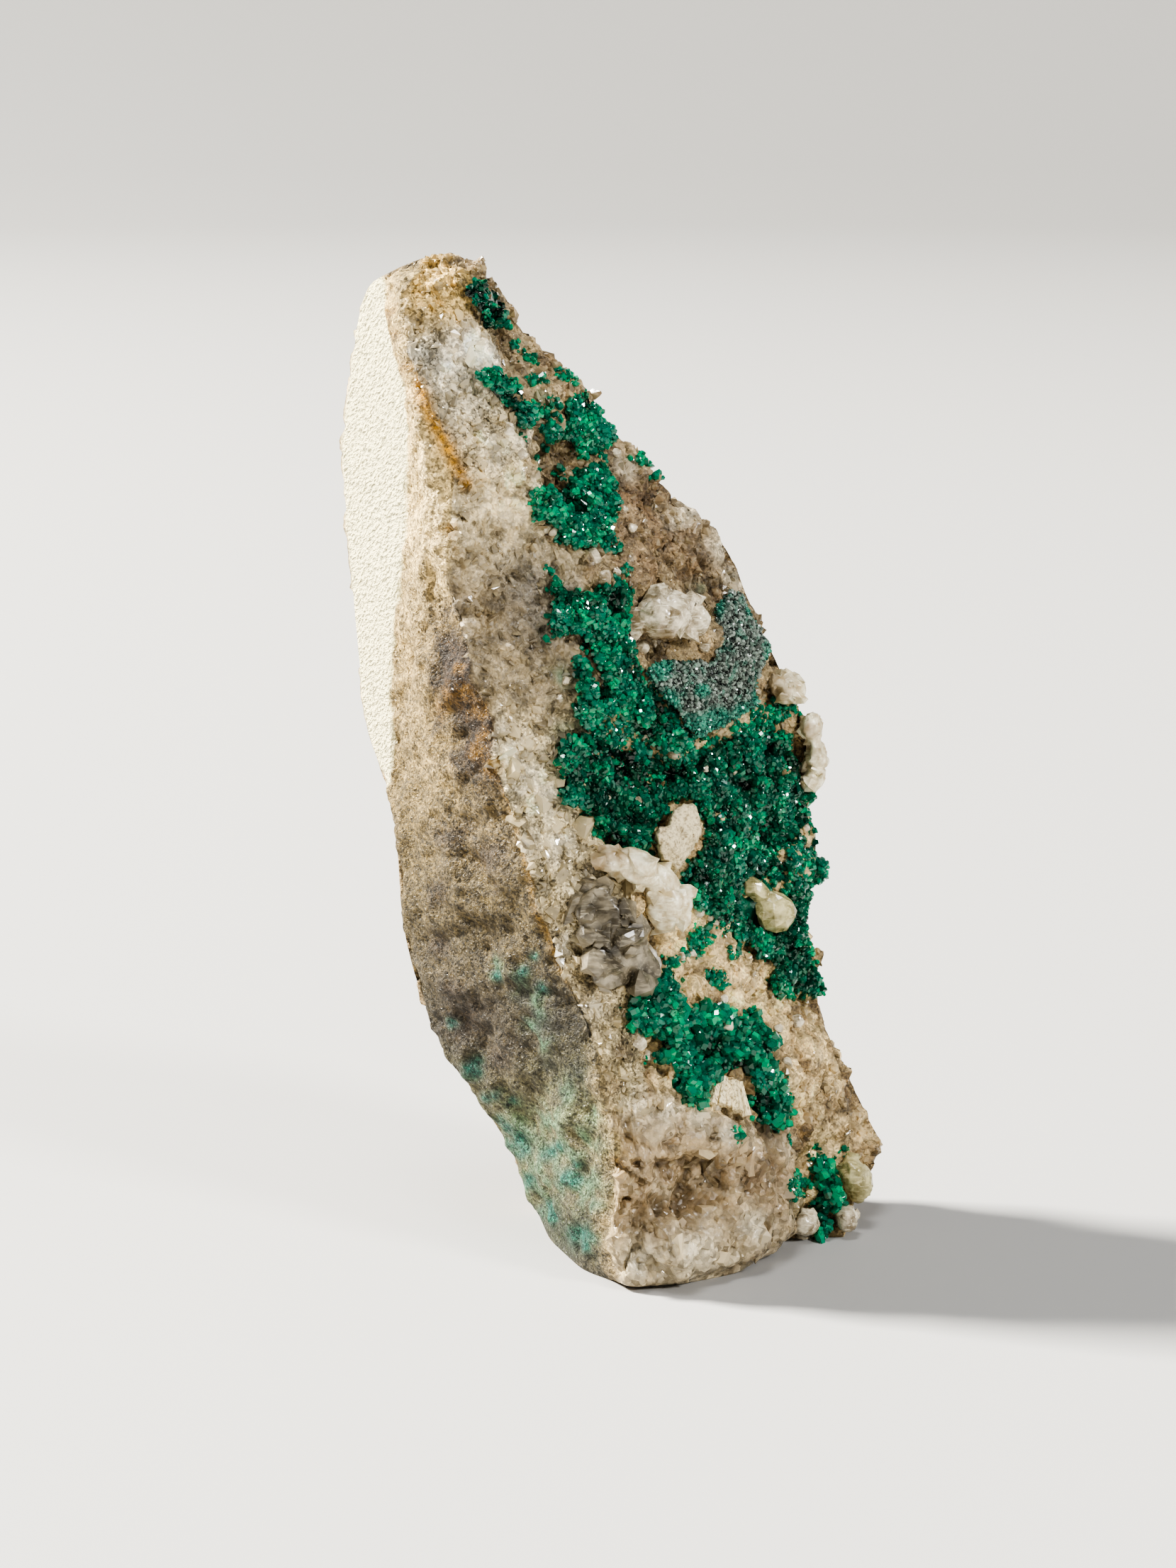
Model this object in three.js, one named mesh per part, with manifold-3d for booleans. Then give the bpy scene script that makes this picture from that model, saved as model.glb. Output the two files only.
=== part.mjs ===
// A dioptase specimen: a broken slab of pale vein rock, standing on its lower end, with green dioptase crystals in
// crusts on its front and grains of calcite among them. +Z is up, -Y faces the viewer, and the origin is under the
// middle of the stone, on the surface that it stands on. Lengths are millimetres.
import * as THREE from "three";
import { ImprovedNoise } from "three/addons/math/ImprovedNoise.js";
import { mergeVertices } from "three/addons/utils/BufferGeometryUtils.js";
import Module from "manifold-3d";

const wasm = await Module();
wasm.setup();

// Driving dimensions.
const STONE_HEIGHT = 92.1;
const SEAT_GAP = 0.3; // between a crystal or a crust and what it sits on
const CRUST_THICKNESS = 0.8; // of a green crust between its larger crystals
const CRYSTAL_RADIUS = 1.15; // of a large dioptase crystal
const CRYSTAL_RISE = 1.7; // of a large dioptase crystal above its crust
const CRYSTAL_SPACING = 3;
const FACE_SLOPE = 1.05; // of the three faces that end a dioptase crystal
const CRYSTAL_SPREAD = 1.1; // how far the crystals lean, as the side of a cube of directions
const CRYSTAL_LEAN = 0.7; // that a crystal may reach past the outline of its crust
const GRAIN_UNEVENNESS = 0.2; // as a share of a grain's radius
const BACK_UNEVENNESS = 1.3; // of the line where a crust ends behind the right edge
const RING_STEP = 3; // between two level sections of the rock
const LEDGE_SIZE = 7.3; // of the rock's broken ledges
const LEDGE_STEP = 0.5;
const ROUGHNESS_SIZE = 2.9; // of the finer unevenness on them
const TOP_CALM = 6; // over which the surface's unevenness fades towards the top
const FLOOR_GAP = 0.3; // under the crusts and grains that come down to the foot

// The view in which the stone was traced: from in front and a little above. A traced place is [across, down] in
// pixels of that view, followed by its depth, which is a y in millimetres.
const VIEW_DISTANCE = 340;
const VIEW_TILT = THREE.MathUtils.degToRad(12);
const VIEW_MIDDLE = [829.5, 1106];
const VIEW_PIXELS_PER_SLOPE = 5222.8; // pixels from the middle where a line of sight rises or turns by 45 degrees
const VIEW_AIM = new THREE.Vector3(-2.35, -1.2, 44.4); // what is in the middle of the view

const sight = new THREE.Vector3(0, Math.cos(VIEW_TILT), -Math.sin(VIEW_TILT));
const viewUp = new THREE.Vector3(0, Math.sin(VIEW_TILT), Math.cos(VIEW_TILT));
const eye = VIEW_AIM.clone().addScaledVector(sight, -VIEW_DISTANCE);

// The point on the line of sight through a traced place, at depth y.
function place(across, down, y) {
  const ray = sight
    .clone()
    .addScaledVector(viewUp, (VIEW_MIDDLE[1] - down) / VIEW_PIXELS_PER_SLOPE);
  ray.x += (across - VIEW_MIDDLE[0]) / VIEW_PIXELS_PER_SLOPE;
  return eye.clone().addScaledVector(ray, (y - eye.y) / ray.y);
}

// Where a point is seen in the view.
function traced(point) {
  const from = point.clone().sub(eye);
  const ahead = from.dot(sight);
  return [
    VIEW_MIDDLE[0] + (from.x / ahead) * VIEW_PIXELS_PER_SLOPE,
    VIEW_MIDDLE[1] - (from.dot(viewUp) / ahead) * VIEW_PIXELS_PER_SLOPE,
  ];
}

const PIXEL = VIEW_DISTANCE / VIEW_PIXELS_PER_SLOPE; // millimetres
const IN_FRONT = -30; // a y that is clear of the stone

const perlin = new ImprovedNoise();
const noise = (p, size) => perlin.noise(p.x / size, p.y / size, p.z / size);

// A repeatable stream of numbers from 0 to 1.
function randomStream(seed) {
  let state = seed;
  return () => {
    state = (Math.imul(state, 1664525) + 1013904223) >>> 0;
    return state / 2 ** 32;
  };
}

// The rock's long edges, from the top down, as traced places. Level sections join them in turn.
const EDGES = {
  // between the fine brown side and the crystalline band, the nearest line to the viewer
  ridge: [
    [606, 367, 0], [592, 385, -2.5], [577, 402, -4], [575, 440, -5], [580, 500, -6], [592, 548, -7],
    [617, 592, -7.5], [640, 650, -8], [634, 740, -8.5], [632, 796, -9], [637, 852, -9.5], [657, 908, -10.5],
    [668, 965, -11], [695, 1015, -12], [694, 1077, -12], [712, 1119, -12.3], [727, 1150, -12.5],
    [747, 1224, -13], [766, 1297, -13.5], [789, 1365, -14], [811, 1407, -14.5], [831, 1443, -15],
    [842, 1491, -15], [850, 1533, -15], [860, 1562, -15], [872, 1615, -15], [868, 1668, -14.8],
    [862, 1717, -14.6], [880, 1780, -14.4], [892, 1819, -13.4],
  ],
  // between the crystalline band and the green front
  rim: [
    [616, 364, 0.6], [645, 380, -1], [660, 398, -2.5], [690, 470, -4], [705, 560, -5.5], [740, 650, -6.5],
    [768, 733, -7], [800, 800, -7.5], [825, 860, -8], [838, 940, -8.5], [828, 1040, -9.5], [828, 1140, -10.5],
    [850, 1230, -11.5], [855, 1330, -12], [880, 1430, -13], [900, 1520, -13.5], [930, 1600, -14.4],
    [950, 1700, -14.4], [955, 1780, -13.8], [960, 1813, -12.4],
  ],
  // down the middle of the green front
  front: [
    [622, 362, 1], [662, 381, 0.5], [684, 405, -0.5], [714, 470, -1], [765, 560, -1], [800, 650, -1.5],
    [850, 733, -1.5], [900, 800, -1.5], [940, 870, -1], [960, 940, -1.5], [975, 1040, -3], [985, 1140, -3.5],
    [1000, 1230, -3.5], [1005, 1330, -3.5], [1030, 1430, -5], [1050, 1520, -5.5], [1078, 1600, -6],
    [1080, 1700, -7.5], [1062, 1760, -8.6], [1042, 1797, -9.2],
  ],
  // the valley between the front's swellings and the right outline
  fold: [
    [623, 361.5, 1.3], [660, 377, 1.6], [697, 412, 1.2], [727, 475, 1.8], [792, 540, 2.4], [838, 640, 2.2],
    [900, 720, 2.6], [975, 800, 3.6], [1005, 870, 4], [1035, 940, 4.6], [1060, 1040, 4.6],
    [1075, 1140, 4.8], [1080, 1230, 4.6], [1075, 1330, 4.2], [1100, 1430, 3.6], [1125, 1520, 2.6],
    [1150, 1600, 2], [1143, 1650, 1.6], [1128, 1700, 1.2], [1109, 1748, 0.5],
  ],
  // the right outline
  right: [
    [624, 361, 1.5], [654, 369, 2], [683, 391, 2], [708, 413, 2], [716, 449, 2.5], [738, 477, 3],
    [774, 506, 3.5], [816, 534, 4], [838, 577, 4], [849, 606, 4.5], [881, 627, 5], [922, 658, 5.5],
    [945, 699, 6], [981, 727, 6.5], [1029, 777, 7], [1047, 813, 7.5], [1051, 849, 7.5], [1073, 884, 8],
    [1088, 913, 8], [1092, 949, 8.5], [1112, 968, 8.5], [1126, 1003, 9], [1136, 1041, 9], [1141, 1106, 9],
    [1138, 1130, 9], [1148, 1177, 9], [1147, 1206, 9], [1131, 1249, 9], [1134, 1291, 9], [1152, 1334, 9],
    [1154, 1377, 9], [1150, 1402, 9], [1165, 1438, 9.5], [1182, 1460, 9.5], [1201, 1497, 10],
    [1208, 1542, 10], [1214, 1579, 10], [1236, 1604, 9.6], [1236, 1632, 8], [1226, 1655, 6.4],
    [1207, 1690, 4.2], [1200, 1722, 2.4], [1190, 1745, 0.9],
  ],
  backRight: [
    [622, 361, 2.2], [650, 372, 3.6], [676, 395, 4.8], [700, 440, 6.5], [750, 540, 8.5], [845, 700, 10.6],
    [955, 900, 12.2], [1010, 1100, 13.2], [1040, 1300, 13.6], [1085, 1480, 13.8], [1140, 1600, 13.8],
    [1172, 1650, 13.6], [1194, 1684, 13.4],
  ],
  backMiddle: [
    [612, 361, 2.6], [618, 374, 4.6], [628, 400, 6.5], [645, 480, 8.6], [680, 600, 10.6], [730, 800, 12.6],
    [800, 1000, 14.2], [850, 1200, 15], [895, 1400, 15.4], [950, 1600, 15.6], [965, 1675, 15.6],
  ],
  backLeft: [
    [604, 362, 2.4], [584, 376, 4.2], [560, 400, 5.8], [545, 480, 9], [535, 600, 12.6], [540, 800, 13.4],
    [580, 1000, 12.6], [625, 1200, 11.8], [690, 1400, 12], [760, 1600, 13.4], [766, 1682, 13.8],
  ],
  // the left outline: the far edge of the pale flat face, and lower down the brown side's own turn
  left: [
    [600, 362, 2], [569, 374, 2.2], [536, 384, 1.4], [513, 413, 4.4], [502, 447, 6.6], [494, 522, 8.7],
    [485, 578, 10.7], [482, 640, 11.7], [482, 677, 11.8], [487, 740, 11.5], [494, 796, 10.6], [498, 858, 10.3],
    [504, 922, 9.6], [511, 993, 9], [520, 1043, 7.6], [533, 1077, 5.4], [550, 1108, 4.2], [556, 1140, 4],
    [559, 1196, 3.5], [563, 1233, 3.5], [562, 1258, 3.5], [566, 1297, 3.5], [577, 1348, 3.5], [587, 1387, 3.5],
    [601, 1421, 4], [615, 1454, 4], [629, 1485, 4.5], [646, 1513, 5], [671, 1544, 5.5], [693, 1580, 6.5],
    [714, 1603, 7], [734, 1652, 7.8], [758, 1709, 8.5],
  ],
  // between the pale flat face and the brown side, which meet the left outline where the pale face ends
  pale: [
    [602, 363, 1.2], [572, 379, 0], [541, 390, -0.8], [544, 433, -1.1], [555, 494, -2.7], [575, 564, -5.4],
    [574, 649, -5], [571, 780, -3.6], [565, 825, -2.2], [555, 897, 0.1], [550, 978, 1.7], [552, 1049, 2.3],
    [553, 1108, 3], [563, 1196, 1.8], [572, 1297, 1.4], [594, 1387, 1.4], [637, 1485, 2.2],
    [702, 1580, 3.8], [744, 1652, 3.6], [765, 1709, 2.4], [776, 1751, 0],
  ],
  // down the middle of the brown side
  brown: [
    [604, 365, 0.6], [582, 382, -1.6], [558, 396, -3], [560, 440, -3.6], [572, 500, -5.2], [585, 564, -6.8],
    [604, 650, -7.6], [601, 740, -7.2], [599, 852, -6.4], [606, 965, -6], [618, 1077, -5.8],
    [640, 1150, -6.2], [656, 1224, -6.6], [672, 1297, -7], [692, 1365, -7.4], [716, 1443, -7.6],
    [748, 1491, -7.6], [776, 1562, -7.4], [796, 1640, -7.2], [808, 1717, -7.4], [822, 1793, -8.4],
  ],
};

// The sides of a level section, counter-clockwise from above: the edge that each starts from, the number of steps
// to the next, and how far its broken surface rises and falls.
const SIDES = [
  { from: "ridge", steps: 4, relief: 0.6 },
  { from: "rim", steps: 5, relief: 1.1 },
  { from: "front", steps: 4, relief: 1.1 },
  { from: "fold", steps: 3, relief: 1 },
  { from: "right", steps: 2, relief: 0.8 },
  { from: "backRight", steps: 3, relief: 1.5 },
  { from: "backMiddle", steps: 4, relief: 1.5 },
  { from: "backLeft", steps: 2, relief: 0.8 },
  { from: "left", steps: 3, relief: 0.06 },
  { from: "pale", steps: 3, relief: 0.35 },
  { from: "brown", steps: 3, relief: 0.4 },
];
const SEEN_SIDES = ["ridge", "rim", "front", "fold", "pale", "brown"];

// Lumps and pits of the front, as traced places with a radius and a height in millimetres.
const LUMPS = [
  { at: [905, 1775], radius: 2.4, height: 1.1 },
  { at: [985, 1765], radius: 2.8, height: 1.3 },
  { at: [1062, 1735], radius: 2.4, height: 1 },
  { at: [930, 1595], radius: 1.9, height: 1.2 },
  { at: [1012, 1592], radius: 1.9, height: 1 },
  { at: [1040, 1660], radius: 2.6, height: 0.9 },
  { at: [962, 1685], radius: 3.2, height: -2.6 },
  { at: [885, 1715], radius: 1.8, height: -0.8 },
  { at: [840, 1165], radius: 2.2, height: 0.7 },
  { at: [820, 1090], radius: 2.4, height: -1 },
  { at: [880, 1110], radius: 3.2, height: -1.6 },
  { at: [946, 1090], radius: 1.7, height: -1.5 },
  { at: [1092, 1060], radius: 1.8, height: -1.4 },
  { at: [1082, 1165], radius: 1.8, height: -1.5 },
  { at: [1118, 1205], radius: 2.2, height: -1.6 },
  { at: [1030, 1150], radius: 2.6, height: 0.9 },
  { at: [1090, 1110], radius: 2.2, height: 0.8 },
  { at: [1095, 1225], radius: 2, height: 0.8 },
  { at: [1010, 960], radius: 4.4, height: 0.9 },
  { at: [935, 780], radius: 4.6, height: 1 },
  { at: [845, 880], radius: 1.9, height: -1 },
  { at: [830, 715], radius: 2.4, height: -0.6 },
  { at: [1128, 1408], radius: 1.3, height: -1.4 },
  { at: [660, 490], radius: 2.8, height: 0.8 },
  { at: [1160, 1540], radius: 3, height: 0.8 },
  { at: [1140, 1645], radius: 1.8, height: -1.4 },
  { at: [655, 1440], radius: 1.4, height: -0.6 },
  { at: [650, 960], radius: 1.9, height: 0.6 },
];

// An edge as x and y at a height.
function edgeCurve(places) {
  const points = places
    .map(([across, down, y]) => place(across, down, y))
    .sort((a, b) => a.z - b.z);
  return (z) => {
    const above = points.findIndex((p) => p.z >= z);
    if (above === 0) return new THREE.Vector2(points[0].x, points[0].y);
    if (above < 0) return new THREE.Vector2(points.at(-1).x, points.at(-1).y);
    const [low, high] = [points[above - 1], points[above]];
    const share = (z - low.z) / (high.z - low.z);
    return new THREE.Vector2(low.x, low.y).lerp(
      new THREE.Vector2(high.x, high.y),
      share,
    );
  };
}

const curves = Object.fromEntries(
  Object.entries(EDGES).map(([name, places]) => [name, edgeCurve(places)]),
);

function sectionHeights() {
  const foot = [0, 0.9];
  const body = [];
  const last = STONE_HEIGHT - 3.2;
  const count = Math.round((last - foot[1]) / RING_STEP);
  for (let i = 1; i <= count; i++)
    body.push(foot[1] + ((last - foot[1]) * i) / count);
  return [...foot, ...body, STONE_HEIGHT - 1.9, STONE_HEIGHT - 0.8, STONE_HEIGHT];
}

// Rock breaks in ledges: this gathers an even slope into steps of the given height.
const ledged = (rise, step) =>
  rise - (0.9 * step * Math.sin((2 * Math.PI * rise) / step)) / (2 * Math.PI);

// The unevenness of the broken surface at a point: ledges, finer noise, and the lumps and pits that are seen there.
function reliefAt(point, side) {
  const belowTop = Math.min(1, (STONE_HEIGHT - point.z) / TOP_CALM);
  let rise =
    side.relief *
    belowTop *
    (ledged(1.5 * noise(point, LEDGE_SIZE), LEDGE_STEP) +
      0.8 * noise(point, ROUGHNESS_SIZE));
  if (!SEEN_SIDES.includes(side.from)) return rise;
  const [across, down] = traced(point);
  for (const { at, radius, height } of LUMPS) {
    const away = (Math.hypot(across - at[0], down - at[1]) * PIXEL) / radius;
    rise += height * Math.exp(-away * away);
  }
  return rise;
}

// The rock as one closed surface of level sections, swollen outwards by a distance. Swollen copies give the room
// that crusts and crystals take on it.
function rockSurface(swelling) {
  const heights = sectionHeights();
  const positions = [];
  const sides = [];
  for (const z of heights)
    SIDES.forEach((side, i) => {
      const start = curves[side.from](z);
      const end = curves[SIDES[(i + 1) % SIDES.length].from](z);
      for (let step = 0; step < side.steps; step++) {
        const at = start.clone().lerp(end, step / side.steps);
        positions.push(at.x, at.y, z);
        sides.push(side);
      }
    });
  const around = positions.length / 3 / heights.length;
  const faces = [];
  for (let ring = 0; ring + 1 < heights.length; ring++)
    for (let i = 0; i < around; i++) {
      const [a, b] = [ring * around + i, ring * around + ((i + 1) % around)];
      const turned = (ring + i) % 2 === 0;
      if (turned)
        faces.push(a, b, b + around, a, b + around, a + around);
      else faces.push(a, b, a + around, b, b + around, a + around);
    }
  capFaces(positions, 0, around, true).forEach((i) => faces.push(i));
  const top = (heights.length - 1) * around;
  capFaces(positions, top, around, false).forEach((i) => faces.push(i));

  const surface = new THREE.BufferGeometry()
    .setAttribute("position", new THREE.Float32BufferAttribute(positions, 3))
    .setIndex(faces);
  pushOut(surface, around, (point, index) => reliefAt(point, sides[index]));
  if (swelling) pushOut(surface, 0, () => swelling);
  return surface;
}

// The triangles that close a level section from below or above.
function capFaces(positions, first, around, below) {
  const outline = Array.from(
    { length: around },
    (_, i) =>
      new THREE.Vector2(
        positions[3 * (first + i)],
        positions[3 * (first + i) + 1],
      ),
  );
  return THREE.ShapeUtils.triangulateShape(outline, []).flatMap(([a, b, c]) =>
    below ? [first + c, first + b, first + a] : [first + a, first + b, first + c],
  );
}

// Moves each vertex from a given one on out along the surface's normal.
function pushOut(surface, firstMoved, distance) {
  surface.computeVertexNormals();
  const { position, normal } = surface.attributes;
  for (let i = firstMoved; i < position.count; i++) {
    const point = new THREE.Vector3().fromBufferAttribute(position, i);
    const out = new THREE.Vector3().fromBufferAttribute(normal, i);
    point.addScaledVector(out, distance(point, i));
    position.setXYZ(i, point.x, point.y, point.z);
  }
}

// A closed geometry as a solid for booleans.
function solid(geometry) {
  const bare = geometry.clone();
  bare.deleteAttribute("normal");
  bare.deleteAttribute("uv");
  const merged = mergeVertices(bare, 1e-4);
  return new wasm.Manifold(
    new wasm.Mesh({
      numProp: 3,
      vertProperties: merged.attributes.position.array,
      triVerts: new Uint32Array(merged.index.array),
    }),
  );
}

// A solid's largest body as a geometry.
function geometryOf(made) {
  const largest = made
    .decompose()
    .reduce((a, b) => (a.volume() > b.volume() ? a : b));
  const mesh = largest.getMesh();
  const positions = [];
  for (let i = 0; i < mesh.numVert; i++)
    for (let k = 0; k < 3; k++)
      positions.push(mesh.vertProperties[i * mesh.numProp + k]);
  return new THREE.BufferGeometry()
    .setAttribute("position", new THREE.Float32BufferAttribute(positions, 3))
    .setIndex([...mesh.triVerts]);
}

// A dioptase crystal: a six-sided prism ended by the three faces of a rhombohedron, along +Z with its root below 0.
function crystalGeometry(radius, rise, root) {
  const ring = (z) =>
    Array.from({ length: 6 }, (_, i) => [
      radius * Math.cos((i * Math.PI) / 3),
      radius * Math.sin((i * Math.PI) / 3),
      z(i),
    ]);
  const shoulder = (i) => rise - FACE_SLOPE * radius * (i % 2 ? 0.5 : 1);
  const points = [...ring(() => -root), ...ring(shoulder), [0, 0, rise]];
  const faces = [];
  for (let i = 0; i < 6; i++) {
    const next = (i + 1) % 6;
    faces.push(i, next, 6 + next, i, 6 + next, 6 + i);
    if (i > 0 && i < 5) faces.push(0, i + 1, i);
  }
  for (const low of [0, 2, 4]) {
    const [before, after] = [6 + ((low + 5) % 6), 6 + low + 1];
    faces.push(12, before, 6 + low, 12, 6 + low, after);
  }
  return new THREE.BufferGeometry()
    .setAttribute(
      "position",
      new THREE.Float32BufferAttribute(points.flat(), 3),
    )
    .setIndex(faces);
}

// A traced outline grown outwards by a distance in millimetres.
function grownOutline(outline, distance) {
  const loop = outline.map(([across, down]) => new THREE.Vector2(across, down));
  const outwards = THREE.ShapeUtils.isClockWise(loop) ? -1 : 1;
  return loop.map((at, i) => {
    const before = loop.at(i - 1);
    const after = loop[(i + 1) % loop.length];
    const along = after.clone().sub(before).normalize();
    const out = new THREE.Vector2(along.y, -along.x);
    return at.clone().addScaledVector(out, (outwards * distance) / PIXEL);
  });
}

// The room behind a traced outline, grown by a distance, from in front of the stone back to about a depth. Its back
// is uneven, because what ends there ends on no straight line.
function roomBehind(outline, far, grown) {
  const loop = grownOutline(outline, grown);
  if (THREE.ShapeUtils.isClockWise(loop)) loop.reverse();
  const front = loop.map((at) => place(at.x, at.y, IN_FRONT).toArray());
  const back = loop.map((at, i) => {
    const uneven = BACK_UNEVENNESS * Math.sin(2.1 * i);
    return place(at.x, at.y, far + uneven).toArray();
  });
  const n = loop.length;
  const faces = THREE.ShapeUtils.triangulateShape(loop, []).flatMap(
    ([a, b, c]) => [a, c, b, n + a, n + b, n + c],
  );
  for (let i = 0; i < n; i++) {
    const next = (i + 1) % n;
    faces.push(i, next, n + next, i, n + next, n + i);
  }
  return solid(
    new THREE.BufferGeometry()
      .setAttribute(
        "position",
        new THREE.Float32BufferAttribute([...front, ...back].flat(), 3),
      )
      .setIndex(faces),
  );
}

const isInside = (across, down, outline) =>
  outline.reduce((inside, [x1, y1], i) => {
    const [x2, y2] = outline[(i + 1) % outline.length];
    const crosses = y1 > down !== y2 > down;
    return crosses && across < ((x2 - x1) * (down - y1)) / (y2 - y1) + x1
      ? !inside
      : inside;
  }, false);

// Looks along a line of sight onto the rock: the point that is seen there and the way its surface faces.
const rockSeen = new THREE.Mesh(rockSurface(SEAT_GAP).toNonIndexed());
const looker = new THREE.Raycaster();
function surfaceAt(across, down) {
  looker.set(eye, place(across, down, 0).sub(eye).normalize());
  const [hit] = looker.intersectObject(rockSeen);
  return hit && { point: hit.point, out: hit.face.normal.clone() };
}

// Turns a geometry that stands on +Z to stand along a direction, spun about it, and moves it to a point.
function standing(geometry, point, along, spin) {
  const turn = new THREE.Quaternion()
    .setFromUnitVectors(new THREE.Vector3(0, 0, 1), along)
    .multiply(
      new THREE.Quaternion().setFromAxisAngle(
        new THREE.Vector3(0, 0, 1),
        spin,
      ),
    );
  return geometry.applyQuaternion(turn).translate(point.x, point.y, point.z);
}

// The places of a crust's larger crystals: a jittered grid inside its outline.
function crystalSeats(outline, spacing, random) {
  const step = spacing / PIXEL;
  const box = new THREE.Box2().setFromPoints(grownOutline(outline, 0));
  const seats = [];
  for (let down = box.min.y + step / 3; down < box.max.y; down += step)
    for (let across = box.min.x + step / 3; across < box.max.x; across += step) {
      const at = [
        across + (random() - 0.5) * step * 0.8,
        down + (random() - 0.5) * step * 0.8,
      ];
      const seat = isInside(...at, outline) && surfaceAt(...at);
      if (seat) seats.push(seat);
    }
  return seats;
}

// A layer on the rock inside a traced outline. Its swollen shape is the room that others leave it.
function layerShape({ outline, far = 8, height }, swelling) {
  const room = roomBehind(outline, far, swelling);
  if (swelling) return room;
  return solid(rockSurface(SEAT_GAP + height)).intersect(room);
}

// A green crust: a thin layer with crystals standing on it, leaning in all directions.
function crustShape(crust, swelling) {
  const { outline, far = 8, seed, spacing = CRYSTAL_SPACING } = crust;
  const allowed = roomBehind(outline, far, CRYSTAL_LEAN + swelling);
  if (swelling) return allowed;
  const random = randomStream(seed);
  const aside = () => CRYSTAL_SPREAD * (random() - 0.5);
  let made = layerShape({ outline, far, height: CRUST_THICKNESS }, 0);
  for (const { point, out } of crystalSeats(outline, spacing, random)) {
    const size = 0.75 + 0.5 * random();
    const along = out.add(new THREE.Vector3(aside(), aside(), aside())).normalize();
    const rise = CRUST_THICKNESS + CRYSTAL_RISE * (0.35 + 0.65 * random()) * size;
    const crystal = crystalGeometry(CRYSTAL_RADIUS * size, rise, CRUST_THICKNESS);
    made = made.add(solid(standing(crystal, point, along, random() * Math.PI)));
  }
  return made.intersect(allowed);
}

// A grain with flat, uneven faces: a many-sided ball stretched to its radii and turned in the view's plane. It sits
// on the rock where it is seen, lifted, or at a given depth where it stands out past the rock.
function grainShape({ at, radii, lift = 0, turn = 0, detail = 1 }, swelling) {
  const ball = new THREE.IcosahedronGeometry(1, detail);
  const { position } = ball.attributes;
  const size = new THREE.Vector3(...radii).addScalar(swelling);
  for (let i = 0; i < position.count; i++) {
    const point = new THREE.Vector3().fromBufferAttribute(position, i);
    const shifted = point.clone().addScalar(at[0] + at[1]);
    point.multiplyScalar(1 + GRAIN_UNEVENNESS * noise(shifted, 0.72));
    point.multiply(size);
    position.setXYZ(i, point.x, point.y, point.z);
  }
  ball.rotateY(THREE.MathUtils.degToRad(turn));
  const seat = at.length === 2 && surfaceAt(...at);
  const middle = seat ? seat.point.addScaledVector(seat.out, lift) : place(...at);
  return solid(ball.translate(middle.x, middle.y, middle.z));
}

const grainsShape = (grains, swelling) =>
  grains.map((grain) => grainShape(grain, swelling)).reduce((a, b) => a.add(b));

// A bundle of straight fibres side by side on the rock, each a slim prism from its upper to its lower end.
function bundleShape({ upper, lower, fibres, radius }, swelling) {
  const between = ([start, end], share) =>
    start.map((value, i) => value + (end[i] - value) * share);
  const made = Array.from({ length: fibres }, (_, i) => {
    const share = i / (fibres - 1);
    const [top, low] = [upper, lower].map((ends) => {
      const { point, out } = surfaceAt(...between(ends, share));
      return point.addScaledVector(out, radius * (1 + 0.5 * Math.sin(3.1 * i)));
    });
    const thick = radius * (1 + 0.25 * Math.sin(2.4 * i)) + swelling;
    const axis = top.clone().sub(low);
    const length = axis.length() * (0.9 + 0.1 * Math.cos(1.7 * i)) + 2 * swelling;
    const fibre = new THREE.CylinderGeometry(0.8 * thick, thick, length, 5);
    fibre.rotateX(Math.PI / 2);
    const middle = top.add(low).multiplyScalar(0.5);
    return solid(standing(fibre, middle, axis.normalize(), i));
  });
  return made.reduce((a, b) => a.add(b));
}

// Grains of calcite and cream carbonate that stand out of the rock, each with those that it is grown together with.
const GRAINS = {
  calcite_boulder: [
    { at: [925, 870], radii: [2.7, 2.4, 2.1], lift: 0.9 },
    { at: [972, 876], radii: [1.8, 1.9, 1.75], lift: 0.8 },
  ],
  calcite_cap: [
    { at: [856, 1214], radii: [1.7, 1.5, 1.4], lift: 0.4, turn: 24 },
    { at: [888, 1232], radii: [2.4, 1.7, 1.7], lift: 0.7, turn: 30 },
    { at: [926, 1270], radii: [2.4, 1.9, 3.2], lift: 0.9, turn: -14 },
  ],
  calcite_oval: [
    { at: [1064, 1254, 1.9], radii: [1.9, 1.5, 1.1], turn: 38 },
    { at: [1091, 1285, 2.3], radii: [2.3, 2, 2], turn: 28 },
  ],
  calcite_knobs: [
    { at: [1100, 974], radii: [1.8, 1.8, 1.6], lift: 0.6 },
    { at: [1110, 1014], radii: [1.5, 1.6, 1.5], lift: 0.6 },
  ],
  calcite_edge_knobs: [
    { at: [1144, 1026, 8.4], radii: [1.35, 2.4, 1.7], detail: 0 },
    { at: [1149, 1064, 8.6], radii: [1.3, 2.4, 1.8], detail: 0 },
    { at: [1141, 1098, 8.6], radii: [1.1, 2.2, 1.5], detail: 0 },
  ],
  cream_grain: [{ at: [1200, 1664], radii: [1.7, 1.9, 2.5], lift: 0.5, turn: -14 }],
  calcite_foot_grain: [{ at: [1133, 1724], radii: [1.6, 1.9, 1.3], lift: 0.6, turn: 30 }],
  calcite_corner_grain: [{ at: [1189, 1720], radii: [1.2, 1.8, 1.4], lift: 0.5, turn: -20 }],
};

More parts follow.
